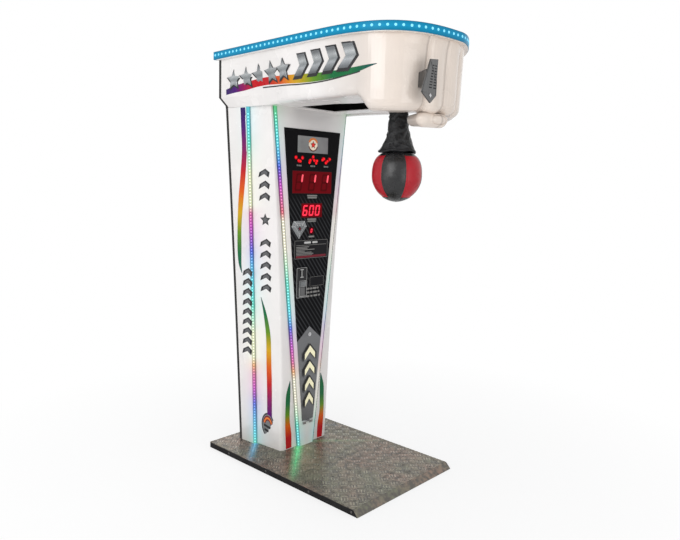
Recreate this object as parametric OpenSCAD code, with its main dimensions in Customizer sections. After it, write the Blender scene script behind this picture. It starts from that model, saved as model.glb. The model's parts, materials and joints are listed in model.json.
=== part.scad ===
// Boxing arcade machine: a free-standing column on a tread-plate platform,
// with an overhanging fist-shaped head, from which a leather ball hangs on a
// swinging arm. Millimetres, +Z up, the player stands on the -Y side.
// The origin is under the middle of the whole machine, at floor level.

/* [Overall] */
// Height from the floor to the top of the light band
overall_h = 2250; // [2150:10:2350]
// Depth from the nose of the light band to the rear of the platform
overall_d = 1360; // [1300:10:1440]

/* [Platform] */
// Width of the platform
deck_w = 775; // [700:5:860]
// Length of the platform
deck_l = 1160; // [1080:10:1240]
// Height of the platform
deck_h = 33; // [28:1:45]
// Thickness of the tread plate
plate_t = 3; // [2:0.5:5]
// Length of the sloping front edge
ramp_l = 28; // [20:1:45]
// Width of the rails under the tread plate
rail_w = 40; // [30:1:60]

/* [Column] */
// Height of the head, from the top of the column to the top of the light band
head_h = 297; // [280:1:320]
// Gap between the rear of the column and the rear of the platform
col_setback = 75; // [50:1:110]
// Depth of the column from its rear face to its front face
col_d = 319; // [290:1:350]
// Half width of the column's rear at the platform
rear_hw0 = 226; // [210:1:250]
// Growth of that half width up to the head
rear_flare = 116; // [80:1:130]
// Half width of the column's front at the platform
front_hw0 = 184; // [170:1:200]
// Growth of that half width up to the head
front_flare = 110; // [80:1:125]
// Inward step that carries the side light strip
side_step = 21; // [15:1:28]
// Distance of the side light strip from the column's rear, at the platform
strip_back0 = 113; // [90:1:130]
// Growth of that distance up to the head
strip_lean = 48; // [20:1:60]
// Wall of the moulded panels
wall = 4; // [3:0.5:6]
// Thickness of the rear panel
rear_t = 20; // [12:1:25]

/* [Raised front] */
// How far the raised front stands out from the column's front face
rise = 20; // [14:1:26]
// Half width of the raised front with its sloping edges, at the platform
vee_hw0 = 67; // [60:1:80]
// Growth of that half width up to the head
vee_flare = 218; // [190:1:222]
// Thickness of the light strips
strip_t = 3; // [2:0.5:5]
// Width of the light strips
strip_w = 22; // [14:1:24]

/* [Display panel] */
// Thickness of the display panel and of the cash door
panel_t = 3; // [2:0.5:4]
// Level of the panel's upper edge: 0 at the platform, 1 at the column's top
panel_level = 0.9453; // [0.92:0.001:0.96]
// Half width of the upper edge
panel_hw1 = 217; // [200:1:222]
// Level of the cash door's lower edge
door_level = 0.0786; // [0.074:0.001:0.1]
// Half width of the panel's outline at that height
door_hw0 = 44; // [42:1:50]
// Level of the cash door's shoulders
shoulder_level = 0.3281; // [0.3:0.001:0.345]
// Height of the cash door's peak above its shoulders
peak_h = 80; // [50:1:100]
// Gap round the cash door
door_gap = 1; // [0.5:0.1:2]
// Width of the score display
score_w = 306; // [280:1:320]
// Height of the score display
score_h = 122; // [100:1:130]
// Level of the score display's middle
score_level = 0.7958; // [0.785:0.001:0.805]
// Width of the record display
record_w = 162; // [140:1:180]
// Height of the record display
record_h = 78; // [60:1:90]
// Level of the record display's middle
record_level = 0.7146; // [0.711:0.001:0.72]
// Side of the square credit display
credit_w = 38; // [30:1:44]
// Level of the credit display's middle
credit_level = 0.6552; // [0.652:0.001:0.66]
// Width of the upper window
window_w = 236; // [200:1:250]
// Height of the upper window
window_h = 90; // [70:1:94]
// Level of the upper window's middle
window_level = 0.9036; // [0.899:0.001:0.908]
// Depth of the display modules
module_d = 24; // [18:1:40]
// Radius of a lamp
lamp_r = 11; // [8:0.5:13]
// Distance between the three groups of lamps
lamp_pitch = 105; // [95:1:110]
// Level of the lamps' middle
lamp_level = 0.8609; // [0.855:0.001:0.864]

// Width of the rules plate
rules_w = 265; // [240:5:270]
// Height of the rules plate
rules_h = 108; // [96:1:112]
// Distance of the rules plate's middle below the credit display's
rules_drop = 104; // [100:1:108]
// Distance of the badge's widest place below the record display's middle
badge_drop = 88; // [84:1:94]
// Half width of the badge
badge_w = 58; // [50:1:60]
// Width of the spare plate
spare_w = 115; // [100:1:118]
// Height of the spare plate
spare_h = 57; // [50:1:64]
// Distance of the spare plate's middle from the coin entry plate's edge
spare_off = 80; // [78:1:84]

/* [Coin entry] */
// Width of the coin entry plate
coin_w = 80; // [74:1:90]
// Height of the coin entry plate
coin_h = 172; // [160:1:180]
// Sideways place of the plate's middle, to the left of the machine's middle
coin_x = 72; // [70:1:80]
// Level of the plate's middle
coin_level = 0.5036; // [0.498:0.001:0.509]
// Thickness of the coin entry plate
coin_t = 4; // [3:0.5:6]
// Width of the reject button
reject_w = 44; // [30:1:50]
// Height of the reject button
reject_h = 26; // [20:1:30]
// Travel of the reject button
reject_travel = 3; // [2:0.5:5]
// Width of the coin return opening
return_w = 40; // [34:1:48]
// Height of the coin return opening
return_h = 50; // [40:1:54]

/* [Head] */
// Half width of the head shell where it is widest
head_hw = 415; // [395:1:425]
// Narrowing of that half width towards the rear
head_taper = 47; // [30:1:60]
// Distance from the widest place to the shell's nose
head_nose = 408; // [395:1:415]
// Squareness of the head's rounded front
head_square = 2.9; // [2.4:0.1:3.4]
// Squareness of that front on its right half, where the knuckles fall back
little_square = 1.5; // [1.4:0.05:3.2]
// Overhang of the light band round the shell
band_out = 22; // [16:1:30]
// Height of the light band
band_h = 41; // [34:1:50]
// Thickness of the top cover and of the underside panel
cover_t = 4; // [3:0.5:6]
// Width of one finger of the fist
finger_w = 127; // [115:1:132]
// Depth of the grooves between the fingers
finger_d = 24; // [12:1:28]
// How far the fist hangs below the head's flat underside
fist_drop = 70; // [50:1:85]
// How far the head's rear stands out behind the column's rear
head_rear_out = 27; // [15:1:35]
// Distance of the crest's middle below the top of the light band
crest_drop = 250; // [244:1:256]

/* [Swinging arm] */
// Distance from the arm's pivot to the middle of the ball
arm_l = 448; // [440:1:452]
// Distance of the pivot in front of the machine's middle
pivot_fwd = 334; // [325:1:340]
// Distance of the pivot below the top of the light band
pivot_drop = 200; // [195:1:202]
// Radius of the ball
ball_r = 125; // [115:1:125]
// Radius of the pivot shaft
shaft_r = 10; // [8:0.5:12]
// Radius of the arm's tube
tube_r = 15; // [12:0.5:18]
// Radius of the hub
hub_r = 26; // [22:1:30]
// Running clearance of the shafts and pins
run = 0.05; // [0.02:0.01:0.09]
// Clearance between pieces that move past each other
gap = 0.5; // [0.3:0.1:1]

/* [Frame] */
// Width of the square steel tube in the uprights
post_w = 60; // [50:1:70]
// Depth of that tube
post_d = 60; // [50:1:70]
// Height of the beams that carry the head
beam_h = 60; // [50:1:64]
// Width of those beams
beam_w = 40; // [30:1:50]
// Distance from the middle to the inner side of the beams
beam_x = 160; // [156:1:170]
// Wall of the steel tubes
tube_wall = 3; // [2:0.5:4]

/* [Rear door] */
// Width of the rear service door
rdoor_w = 310; // [280:1:330]
// Height of the rear service door
rdoor_h = 680; // [600:1:720]
// Height of the door's lower edge above the floor
rdoor_z = 335; // [300:1:380]
// Thickness of the door's sheet
rdoor_t = 3; // [2:0.5:4]

/* [Hidden] */
$fn = 48;

white = [0.93, 0.92, 0.91];
black = [0.06, 0.06, 0.065];
steel = [0.62, 0.63, 0.64];
dark_steel = [0.25, 0.25, 0.26];
red_glow = [0.75, 0.05, 0.05];

col_top = overall_h - head_h;
pivot_z = overall_h - pivot_drop;
deck_rear = overall_d / 2;
deck_front = deck_rear - deck_l;
col_rear = deck_rear - col_setback;
front_y = col_rear - col_d;
vee_y = front_y - rise;
panel_y = vee_y - panel_t;
shell_rear = col_rear - rear_t + head_rear_out;
head_cy = -(overall_d / 2 - band_out - head_nose);
band_z0 = overall_h - band_h;
shell_top = band_z0 - cover_t;
lip_h = 6;
under_z = col_top + lip_h;
shell_h = shell_top - under_z;
post_x = 100;
post_y0 = front_y + 144;
beam_z0 = pivot_z + 33;
post_top = beam_z0 - 40;
nose_y = head_cy - head_nose;
arm_y = -pivot_fwd;
ball_z = pivot_z - arm_l;

// Levels on the column: 0 at the platform, 1 at the top
function level(z) = (z - deck_h) / (col_top - deck_h);
function height_at(t) = deck_h + (col_top - deck_h) * t;
panel_z1 = height_at(panel_level);
door_z0 = height_at(door_level);
shoulder_z = height_at(shoulder_level);
window_z = height_at(window_level);
lamp_z = height_at(lamp_level);
score_z = height_at(score_level);
record_z = height_at(record_level);
credit_z = height_at(credit_level);
coin_z = height_at(coin_level);

// Smooth step from 0 at a to 1 at b
function ease(a, b, x) = let (t = min(1, max(0, (x - a) / (b - a)))) t * t * (3 - 2 * t);
function flatten(l) = [for (a = l) for (b = a) b];
function reversed(l) = [for (i = [len(l) - 1 : -1 : 0]) l[i]];

// A solid whose cross-section runs through a list of closed rings, or right round to the first of them
module loft(rings, round = false) {
    n = len(rings[0]);
    m = len(rings);
    polyhedron(points = flatten(rings), convexity = 12, faces = concat(
        flatten([for (j = [0 : round ? m - 1 : m - 2]) for (i = [0 : n - 1])
            let (a = j * n + i, b = j * n + (i + 1) % n, c = (j + 1) % m * n + i, d = (j + 1) % m * n + (i + 1) % n)
            [[a, c, b], [b, c, d]]]),
        round ? [] : [[for (i = [0 : n - 1]) i], [for (i = [n - 1 : -1 : 0]) (m - 1) * n + i]]));
}

// A flat outline in X and Z, of thickness t in front of the plane y
module xz_plate(y, t) { translate([0, y, 0]) rotate([90, 0, 0]) linear_extrude(t) children(); }
// A flat outline in Y and Z, of thickness t to the right of the plane x
module yz_plate(x, t) { translate([x, 0, 0]) rotate([90, 0, 90]) linear_extrude(t) children(); }
// A rod along X between two planes
module x_rod(x0, x1, y, z, r) { translate([x0, y, z]) rotate([0, 90, 0]) cylinder(r = r, h = x1 - x0); }
// A rod along Y between two planes
module y_rod(x, z, y0, y1, r) { translate([x, y1, z]) rotate([90, 0, 0]) cylinder(r = r, h = y1 - y0); }
// A box between two corners
module block(a, b) { translate(a) cube(b - a); }
// Rectangular tubes between two corners, open at both ends
module tube_x(a, b) {
    difference() {
        block(a, b);
        block(a + [-1, tube_wall, tube_wall], b + [1, -tube_wall, -tube_wall]);
    }
}
module tube_y(a, b) {
    difference() {
        block(a, b);
        block(a + [tube_wall, -1, tube_wall], b + [-tube_wall, 1, -tube_wall]);
    }
}
// A rectangle round a middle point
module window_cut(x, z, w, h) { translate([x - w / 2, z - h / 2]) square([w, h]); }
module both_sides() { children(); mirror([1, 0, 0]) children(); }

// Platform

module tread_plate() {
    color(steel)
    block([-deck_w / 2, deck_front + ramp_l, deck_h - plate_t], [deck_w / 2, deck_rear, deck_h]);
}

// Height of the foot of the platform's sloping front
slope_foot = plate_t + 2;

module ramp_plate() {
    color(steel)
    yz_plate(-deck_w / 2, deck_w) polygon([
        [deck_front + ramp_l, deck_h], [deck_front + ramp_l, deck_h - plate_t],
        [deck_front + 2, 1.5], [deck_front, 1.5], [deck_front, slope_foot]]);
}

// A rail under the tread plate, its front end cut to the slope of the ramp
module rail_outline() {
    top = deck_h - plate_t;
    polygon([[deck_rear, 0], [deck_rear, top], [deck_front + ramp_l, top],
        [deck_front + 2, 1.5], [deck_front + 2, 0]]);
}

module side_rails() {
    top = deck_h - plate_t - tube_wall;
    color(black) both_sides() difference() {
        yz_plate(deck_w / 2 - rail_w, rail_w) rail_outline();
        yz_plate(deck_w / 2 - rail_w + tube_wall, rail_w - 2 * tube_wall) polygon([
            [deck_rear + 1, tube_wall], [deck_rear + 1, top], [deck_front + ramp_l, top],
            [deck_front + 8, tube_wall]]);
    }
}

cross_y = [deck_front + ramp_l, front_y - 60, deck_rear - rail_w];
module cross_rails() {
    inner = deck_w / 2 - rail_w;
    color(black) for (y = cross_y)
        tube_x([-inner, y, 0], [inner, y + rail_w, deck_h - plate_t]);
}

// Steel frame inside the column and the head

flange_t = 6;
flange_over = 40;
bolt_x = post_x - 30;
bolt_y = [post_y0 - 22, post_y0 + post_d + 22];
bolt_r = 6;
module column_posts() {
    color(dark_steel) {
        difference() {
            block([-post_x - post_w, post_y0 - flange_over, deck_h],
                [post_x + post_w, post_y0 + post_d + flange_over, deck_h + flange_t]);
            for (x = [-bolt_x, bolt_x], y = bolt_y)
                translate([x, y, deck_h - 1]) cylinder(r = bolt_r + gap, h = flange_t + 2);
        }
        both_sides() difference() {
            block([post_x, post_y0, deck_h + flange_t], [post_x + post_w, post_y0 + post_d, post_top]);
            block([post_x + tube_wall, post_y0 + tube_wall, deck_h + flange_t],
                [post_x + post_w - tube_wall, post_y0 + post_d - tube_wall, post_top + 1]);
        }
    }
}

module anchor_bolts() {
    color(steel) for (x = [-bolt_x, bolt_x], y = bolt_y)
        translate([x, y, deck_h + flange_t]) {
            translate([0, 0, -flange_t]) cylinder(r = bolt_r, h = flange_t + 1);
            cylinder(r = 1.9 * bolt_r, h = 2);
            cylinder(r = 1.6 * bolt_r, h = 9, $fn = 6);
        }
}

beam_front = arm_y - 160;
beam_rear = col_rear - rear_t - 5;
module head_beams() {
    color(dark_steel) both_sides()
        tube_y([beam_x, beam_front, beam_z0], [beam_x + beam_w, beam_rear, beam_z0 + beam_h]);
}

module cross_beams() {
    color(dark_steel) {
        tube_x([-beam_x - beam_w, post_y0, post_top], [beam_x + beam_w, post_y0 + post_d, beam_z0]);
        tube_x([-beam_x, beam_rear - 30, beam_z0], [beam_x, beam_rear, beam_z0 + beam_h]);
        tube_x([-beam_x, beam_front, beam_z0], [beam_x, beam_front + 28, beam_z0 + beam_h]);
    }
}

// Column panels

function rear_hw(t) = rear_hw0 + rear_flare * (0.86 * t + 0.14 * t * t);
function front_hw(t) = front_hw0 + front_flare * (0.34 * t + 0.66 * t * t);
function vee_hw(t) = vee_hw0 + vee_flare * t;
function strip_y(t) = col_rear - strip_back0 - strip_lean * t;
function strip_x(t) = rear_hw(t) - 0.045 * (col_rear - strip_y(t));
function corner_r(t) = 24 - 18 * t;
LEVELS = [for (i = [0 : 8]) i / 8];
flank_lap = 12;
bend = sqrt(2) - 1;

// Outer and inner skin of a side panel at one level, from the rear to the raised front
function side_outer(t) = concat(
    [[rear_hw(t), col_rear - rear_t], [strip_x(t), strip_y(t)],
     [strip_x(t) - side_step, strip_y(t) - side_step]],
    [for (a = [0 : 22.5 : 90])
        [front_hw(t) - corner_r(t) * (1 - cos(a)), front_y + corner_r(t) * (1 - sin(a))]],
    [[vee_hw(t) - flank_lap, front_y]]);
function side_inner(t) = let (r = max(0.5, corner_r(t) - wall)) concat(
    [[rear_hw(t) - wall, col_rear - rear_t],
     [strip_x(t) - wall, strip_y(t) + bend * wall],
     [strip_x(t) - side_step - wall, strip_y(t) - side_step + bend * wall]],
    [for (a = [0 : 22.5 : 90])
        [front_hw(t) - wall - r * (1 - cos(a)), front_y + wall + r * (1 - sin(a))]],
    [[vee_hw(t) - flank_lap, front_y + wall]]);
function at_level(ring, t) = [for (p = ring) [p[0], p[1], height_at(t)]];

module side_panel() {
    loft([for (t = LEVELS) at_level(concat(side_inner(t), reversed(side_outer(t))), t)]);
}
module column_side_right() { color(white) side_panel(); }
module column_side_left() { color(white) mirror([1, 0, 0]) side_panel(); }

// A light strip on the sloping face between two points a and b of a level
function strip_ring(a, b, t) = let (
    along = (b - a) / norm(b - a),
    out = [along[1], -along[0]],
    mid = (a + b) / 2,
    p = mid - along * strip_w / 2,
    q = mid + along * strip_w / 2)
    at_level([p, p + out * strip_t, q + out * strip_t, q], t);

module side_light() {
    loft([for (t = LEVELS) strip_ring([strip_x(t) - side_step, strip_y(t) - side_step],
        [strip_x(t), strip_y(t)], t)]);
}
module side_light_right() { color("springgreen") side_light(); }
module side_light_left() { color("springgreen") mirror([1, 0, 0]) side_light(); }

vee_top = level(under_z);
// Outer and inner skin of the raised front; the inner one runs on past the open back
function front_ring(t) = at_level([[-vee_hw(t), front_y], [-vee_hw(t) + rise, vee_y],
    [vee_hw(t) - rise, vee_y], [vee_hw(t), front_y]], t);
function hollow_ring(t) = let (back = vee_hw(t) - (1 + bend) * wall + 1, hw = vee_hw(t) - rise - bend * wall)
    at_level([[-back, front_y + 1], [-hw, vee_y + wall], [hw, vee_y + wall], [back, front_y + 1]], t);

module front_light() {
    loft([for (t = [0, 1]) strip_ring([vee_hw(t) - rise, vee_y], [vee_hw(t), front_y], t)]);
}
module front_light_right() { color("deepskyblue") front_light(); }
module front_light_left() { color("deepskyblue") mirror([1, 0, 0]) front_light(); }

// The panel's outline follows the slope of its own long edges
function panel_hw(z) = door_hw0 + (panel_hw1 - door_hw0) * (z - door_z0) / (panel_z1 - door_z0);
ledge = 14;
module cash_outline(inset) {
    hw0 = panel_hw(door_z0 + inset) - inset;
    hw1 = panel_hw(shoulder_z) - inset;
    polygon([[-hw0, door_z0 + inset], [hw0, door_z0 + inset], [hw1, shoulder_z - inset / 2],
        [0, shoulder_z + peak_h - 1.3 * inset], [-hw1, shoulder_z - inset / 2]]);
}
module panel_outline() {
    hw = panel_hw(shoulder_z);
    polygon([[-panel_hw1, panel_z1], [panel_hw1, panel_z1], [hw, shoulder_z],
        [0, shoulder_z + peak_h], [-hw, shoulder_z]]);
}

module raised_front() {
    color(white) difference() {
        loft([for (t = [0, vee_top]) front_ring(t)]);
        loft([for (t = [-0.01, vee_top + 0.01]) hollow_ring(t)]);
        xz_plate(vee_y + 3 * wall, 6 * wall) {
            cash_outline(ledge);
            z0 = shoulder_z + peak_h + ledge;
            polygon([[-panel_hw(z0) + ledge, z0], [panel_hw(z0) - ledge, z0],
                [panel_hw(panel_z1) - 2 * ledge, panel_z1 - ledge],
                [-panel_hw(panel_z1) + 2 * ledge, panel_z1 - ledge]]);
        }
    }
}

// Rear panel with its outward kink under the head
kink = 12;
kink_h = 42;
head_rear_hw = head_hw - head_taper;
rear_face = col_rear + head_rear_out;

module rear_panel() {
    edge = concat([for (t = LEVELS) [rear_hw(t), height_at(t)]],
        [[rear_hw(1) + 3, col_top + kink], [head_rear_hw, col_top + kink + kink_h], [head_rear_hw, shell_top]]);
    color(black) difference() {
        intersection() {
            yz_plate(-head_hw, 2 * head_hw) polygon([
                [col_rear - rear_t, deck_h], [col_rear, deck_h], [col_rear, col_top + kink],
                [rear_face, col_top + kink + kink_h], [rear_face, shell_top], [shell_rear, shell_top],
                [shell_rear, col_top + kink + kink_h], [col_rear - rear_t, col_top + kink]]);
            xz_plate(rear_face + 1, 3 * rear_t) polygon(concat(edge,
                reversed([for (p = edge) [-p[0], p[1]]])));
        }
        block([-rdoor_w / 2 + 18, col_rear - rear_t - 1, rdoor_z + 18],
            [rdoor_w / 2 - 18, col_rear + 1, rdoor_z + rdoor_h - 18]);
        block([inlet_x - 22, col_rear - rear_t - 1, inlet_z - 38],
            [inlet_x + 22, col_rear + 1, inlet_z + 38]);
    }
}

// Display panel and what is set in it

coin_cx = -coin_x;
coin_open_w = coin_w - 10;
coin_open_h = coin_h - 16;
button_x = coin_cx + 8;
button_z = coin_z - 6;
cup_z = coin_z - 50;
slot_z = coin_z + 53;
slot_h = 36;
slot_w = 5;
insert_w = 24;
group_x = [-lamp_pitch, 0, lamp_pitch];
// Places of the three lamps in a group; the middle group stands upside down
function lamp_places(i) = let (s = i == 1 ? -1 : 1) [[-24, 8 * s], [24, 8 * s], [0, -10 * s]];

module display_panel() {
    color(black) xz_plate(vee_y, panel_t) difference() {
        panel_outline();
        window_cut(0, window_z, window_w, window_h);
        window_cut(0, score_z, score_w, score_h);
        window_cut(0, record_z, record_w, record_h);
        window_cut(0, credit_z, credit_w, credit_w);
        window_cut(coin_cx, coin_z, coin_open_w, coin_open_h);
        for (i = [0 : 2], p = lamp_places(i))
            translate([group_x[i] + p[0], lamp_z + p[1]]) circle(r = lamp_r);
    }
}

// A display module that fills its window, just behind the panel's face
module display_module(z, w, h) {
    xz_plate(vee_y + module_d, module_d + panel_t - 0.5) window_cut(0, z, w, h);
}
module upper_window() { color("gray") display_module(window_z, window_w, window_h); }
module score_display() { color(red_glow) display_module(score_z, score_w, score_h); }
module record_display() { color(red_glow) display_module(record_z, record_w, record_h); }
module credit_display() { color(red_glow) display_module(credit_z, credit_w, credit_w); }

module score_lamps() {
    color(red_glow) for (i = [0 : 2], p = lamp_places(i)) {
        x = group_x[i] + p[0];
        z = lamp_z + p[1];
        y_rod(x, z, panel_y - 2, vee_y, lamp_r);
        y_rod(x, z, vee_y, vee_y + 10, lamp_r + 1.5);
    }
}

// A cut gem, flat at the back
badge_x = -99;
function gem_ring(y, k) = [for (p = [[-1, 0], [0, -70], [1, 0], [0.72, 30], [-0.72, 30]])
    [badge_x + p[0] * badge_w * k, y, record_z - badge_drop + p[1] * k]];
module diamond_badge() {
    color("lightgray") loft([gem_ring(panel_y, 1), gem_ring(panel_y - 3, 1), gem_ring(panel_y - 8, 0.62)]);
}

module rules_plate() {
    color(black) xz_plate(panel_y, 1.5) window_cut(0, credit_z - rules_drop, rules_w, rules_h);
}
module spare_plate() {
    color(black) xz_plate(panel_y, 3) window_cut(coin_cx + coin_w / 2 + spare_off, coin_z, spare_w, spare_h);
}

flap_pin_r = 1.2;
flap_axis_y = panel_y - coin_t / 2;
flap_axis_z = cup_z + return_h / 2 - 3;
module coin_plate() {
    color(dark_steel) difference() {
        xz_plate(panel_y, coin_t) difference() {
            window_cut(coin_cx, coin_z, coin_w, coin_h);
            window_cut(coin_cx, slot_z, insert_w, slot_h);
            window_cut(button_x, button_z, reject_w + 2 * gap, reject_h + 2 * gap);
            window_cut(button_x, cup_z, return_w, return_h);
        }
        x_rod(button_x - return_w / 2 - 4, button_x + return_w / 2 + 4, flap_axis_y, flap_axis_z,
            flap_pin_r + run);
    }
}

// Two cheeks with the coin's way between them; their noses fill the plate's window but for the slot
unit_y0 = panel_y + 4 + reject_travel + 2;
unit_d = 56;
nose_out = 1.5;
module coin_unit() {
    z0 = button_z - reject_h / 2 - 4;
    z1 = coin_z + coin_open_h / 2;
    color(dark_steel) difference() {
        union() {
            block([coin_cx - coin_open_w / 2 + 1, unit_y0, z0],
                [coin_cx + coin_open_w / 2 - 1, unit_y0 + unit_d, z1]);
            block([coin_cx - coin_open_w / 2 + 1, vee_y, z1],
                [coin_cx + coin_open_w / 2 - 1, unit_y0 + unit_d, z1 + 14]);
            xz_plate(unit_y0 + 1, unit_y0 + 1 - panel_y + coin_t + nose_out)
                window_cut(coin_cx, slot_z, insert_w, slot_h);
        }
        block([coin_cx - slot_w / 2, panel_y - coin_t - nose_out - 1, z0 - 1],
            [coin_cx + slot_w / 2, unit_y0 + unit_d + 1, z1 + 15]);
    }
}

module reject_button() {
    color("silver") {
        xz_plate(panel_y + 1, coin_t + 4) window_cut(button_x, button_z, reject_w, reject_h);
        xz_plate(panel_y + 2.5, 2) window_cut(button_x, button_z, reject_w + 4, reject_h + 4);
    }
}

cup_d = 52;
module return_cup() {
    color(dark_steel) difference() {
        xz_plate(panel_y + cup_d, cup_d) window_cut(button_x, cup_z, return_w + 4, return_h + 4);
        xz_plate(panel_y + cup_d - 2, cup_d) window_cut(button_x, cup_z, return_w, return_h);
    }
}

module return_flap() {
    flap_w = return_w - 2 * gap;
    color("silver") {
        x_rod(button_x - return_w / 2 - 3, button_x + return_w / 2 + 3, flap_axis_y, flap_axis_z, flap_pin_r);
        xz_plate(flap_axis_y + 0.75, 1.5) translate([button_x - flap_w / 2, cup_z - return_h / 2 + gap])
            square([flap_w, flap_axis_z - cup_z + return_h / 2 - gap]);
    }
}

// Cash door, hinged along its lower edge

lock_z = shoulder_z + 31;
lock_r = 9;
cam_l = 44;
pin_r = 2;
knuckle_r = 4;
cash_axis_y = panel_y - gap - 2;
cash_axis_z = door_z0 - 6;
cash_knuckle = 13;
cash_hw = 38;

module cash_door() {
    color("gray") difference() {
        union() {
            xz_plate(vee_y - 0.3, panel_t) difference() {
                cash_outline(door_gap);
                translate([0, lock_z]) circle(r = lock_r + run);
            }
            x_rod(-cash_knuckle, cash_knuckle, cash_axis_y, cash_axis_z, knuckle_r);
            block([-cash_knuckle, cash_axis_y - 1, cash_axis_z],
                [cash_knuckle, vee_y - 0.3 - panel_t / 2, door_z0 + 6]);
        }
        x_rod(-cash_hw, cash_hw, cash_axis_y, cash_axis_z, pin_r + run);
    }
}

module cash_hinge() {
    color(steel) {
        for (s = [-1, 1]) {
            x0 = s > 0 ? cash_knuckle + gap : -cash_hw;
            x_rod(x0, x0 + cash_hw - cash_knuckle - gap, cash_axis_y, cash_axis_z, knuckle_r);
        }
        x_rod(-cash_hw, cash_hw, cash_axis_y, cash_axis_z, pin_r);
        for (s = [-1, 1]) {
            x0 = s > 0 ? cash_knuckle + gap : -cash_hw;
            block([x0, cash_axis_y, cash_axis_z - knuckle_r - 12],
                [x0 + cash_hw - cash_knuckle - gap, vee_y, cash_axis_z - 1]);
        }
    }
}

// A lock plug with its cam; the cam points down when unlocked
module lock_plug(depth, cam_back) {
    y_rod(0, 0, -depth, 0.3, lock_r);
    difference() {
        y_rod(0, 0, 0.3, 4, lock_r + 2.5);
        block([-1, 2, -5], [1, 5, 5]);
    }
    translate([0, -cam_back, 0]) xz_plate(0, 3) union() {
        circle(r = lock_r);
        translate([-7, -cam_l]) square([14, cam_l]);
    }
}
module cash_lock() {
    color("silver") translate([0, panel_y - 0.3, lock_z]) mirror([0, 1, 0])
        lock_plug(panel_t + wall + 6, panel_t + wall + 2);
}

shelf_z = 412;
shelf_t = 4;
module cash_shelf() {
    color(dark_steel) translate([0, 0, shelf_z]) linear_extrude(shelf_t)
        polygon([[-80, vee_y + wall], [80, vee_y + wall], [80, front_y + wall + 10],
            [post_x + 30, front_y + wall + 10], [post_x + 30, post_y0], [-post_x - 30, post_y0],
            [-post_x - 30, front_y + wall + 10], [-80, front_y + wall + 10]]);
}
box_w = 96;
box_h = 145;
module cash_box() {
    y0 = vee_y + wall + 4;
    z0 = shelf_z + shelf_t;
    color("silver") difference() {
        block([-box_w / 2, y0, z0], [box_w / 2, post_y0 - 12, z0 + box_h]);
        block([-box_w / 2 + 2, y0 + 2, z0 + 2], [box_w / 2 - 2, post_y0 - 14, z0 + box_h + 1]);
    }
}

// Head shell

head_run = shell_rear - head_cy;
function side_hw(y, out) = head_hw + out - head_taper * pow(max(0, y - head_cy) / head_run, 1.2);
function square_at(psi) = psi < 90 ? little_square : head_square;
function nose_r(psi, out) = let (n = square_at(psi)) pow(pow(abs(cos(psi)) / (head_hw + out), n)
    + pow(abs(sin(psi)) / (head_nose + out), n), -1 / n);

// Columns round the shell: [x, y, inward x, inward y, angle round the nose or -1 beside it]
SIDE_N = 8;
PSI_STEP = 2;
function half_side(out, y1) = [for (i = [0 : SIDE_N - 1])
    let (y = y1 + (head_cy - y1) * i / SIDE_N) [side_hw(y, out), y, -1, 0, -1]];
function nose(out) = [for (psi = [0 : PSI_STEP : 180]) let (r = nose_r(psi, out))
    [r * cos(psi), head_cy - r * sin(psi), -cos(psi), sin(psi), psi]];
function opposite(c) = [-c[0], c[1], -c[2], c[3], c[4]];
function head_columns(out, y1) = concat(half_side(out, y1), nose(out),
    reversed([for (c = half_side(out, y1)) opposite(c)]));
function outline_2d(out, y1) = [for (c = head_columns(out, y1)) [c[0], c[1]]];

// Swelling of the fist, 0 in a groove and 1 on a finger
fist_hw = 1.5 * finger_w;
function corner_psi(n) = atan2(head_nose * pow(1 - pow(fist_hw / head_hw, n), 1 / n), fist_hw);
heel_psi = 20;
function swell(c) = c[4] < 0 ? 1 :
    abs(c[0]) < fist_hw ? pow(abs(cos(180 * c[0] / finger_w)), 0.55) :
    let (psi = min(c[4], 180 - c[4]), corner = corner_psi(square_at(c[4])), mid = (corner + heel_psi) / 2)
    psi > mid ? pow(abs(sin(90 * (corner - psi) / (corner - mid))), 0.55)
        : 1 - 0.28 * exp(-pow((psi - heel_psi) / 7, 2));

// Rim of the shell over the column follows the column's side
function rim_hw(y) = rear_hw(1) - 0.045 * (col_rear - max(y, front_y)) + 60 * ease(0, 330, front_y - y);
function tuck(c) = c[4] < 0 ? side_hw(c[1], 0) - rim_hw(c[1])
    : (head_hw - rim_hw(head_cy)) * (1 - 0.65 * sin(c[4]));
function fist(c) = ease(140, 225, head_cy - c[1]);
function bottom_z(c) = col_top - fist_drop * fist(c) + 16 * (1 - swell(c)) * fist(c);
function round_r(c) = wall + 1 + 29 * ease(0, 160, front_y - c[1]) + 11 * fist(c);
function lip_in(c) = tuck(c) + 40 + 35 * ease(0, 120, vee_y - 20 - c[1]) + (c[4] < 0 ? 0 : 40 * sin(c[4]));

// A point of column c, moved inwards by d, at height z; k is the share of the groove's depth
function shell_point(c, d, z, k) = let (e = d + k * finger_d * (1 - swell(c)))
    [c[0] + e * c[2], c[1] + e * c[3], z];
ARC = [0 : 18 : 90];
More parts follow.
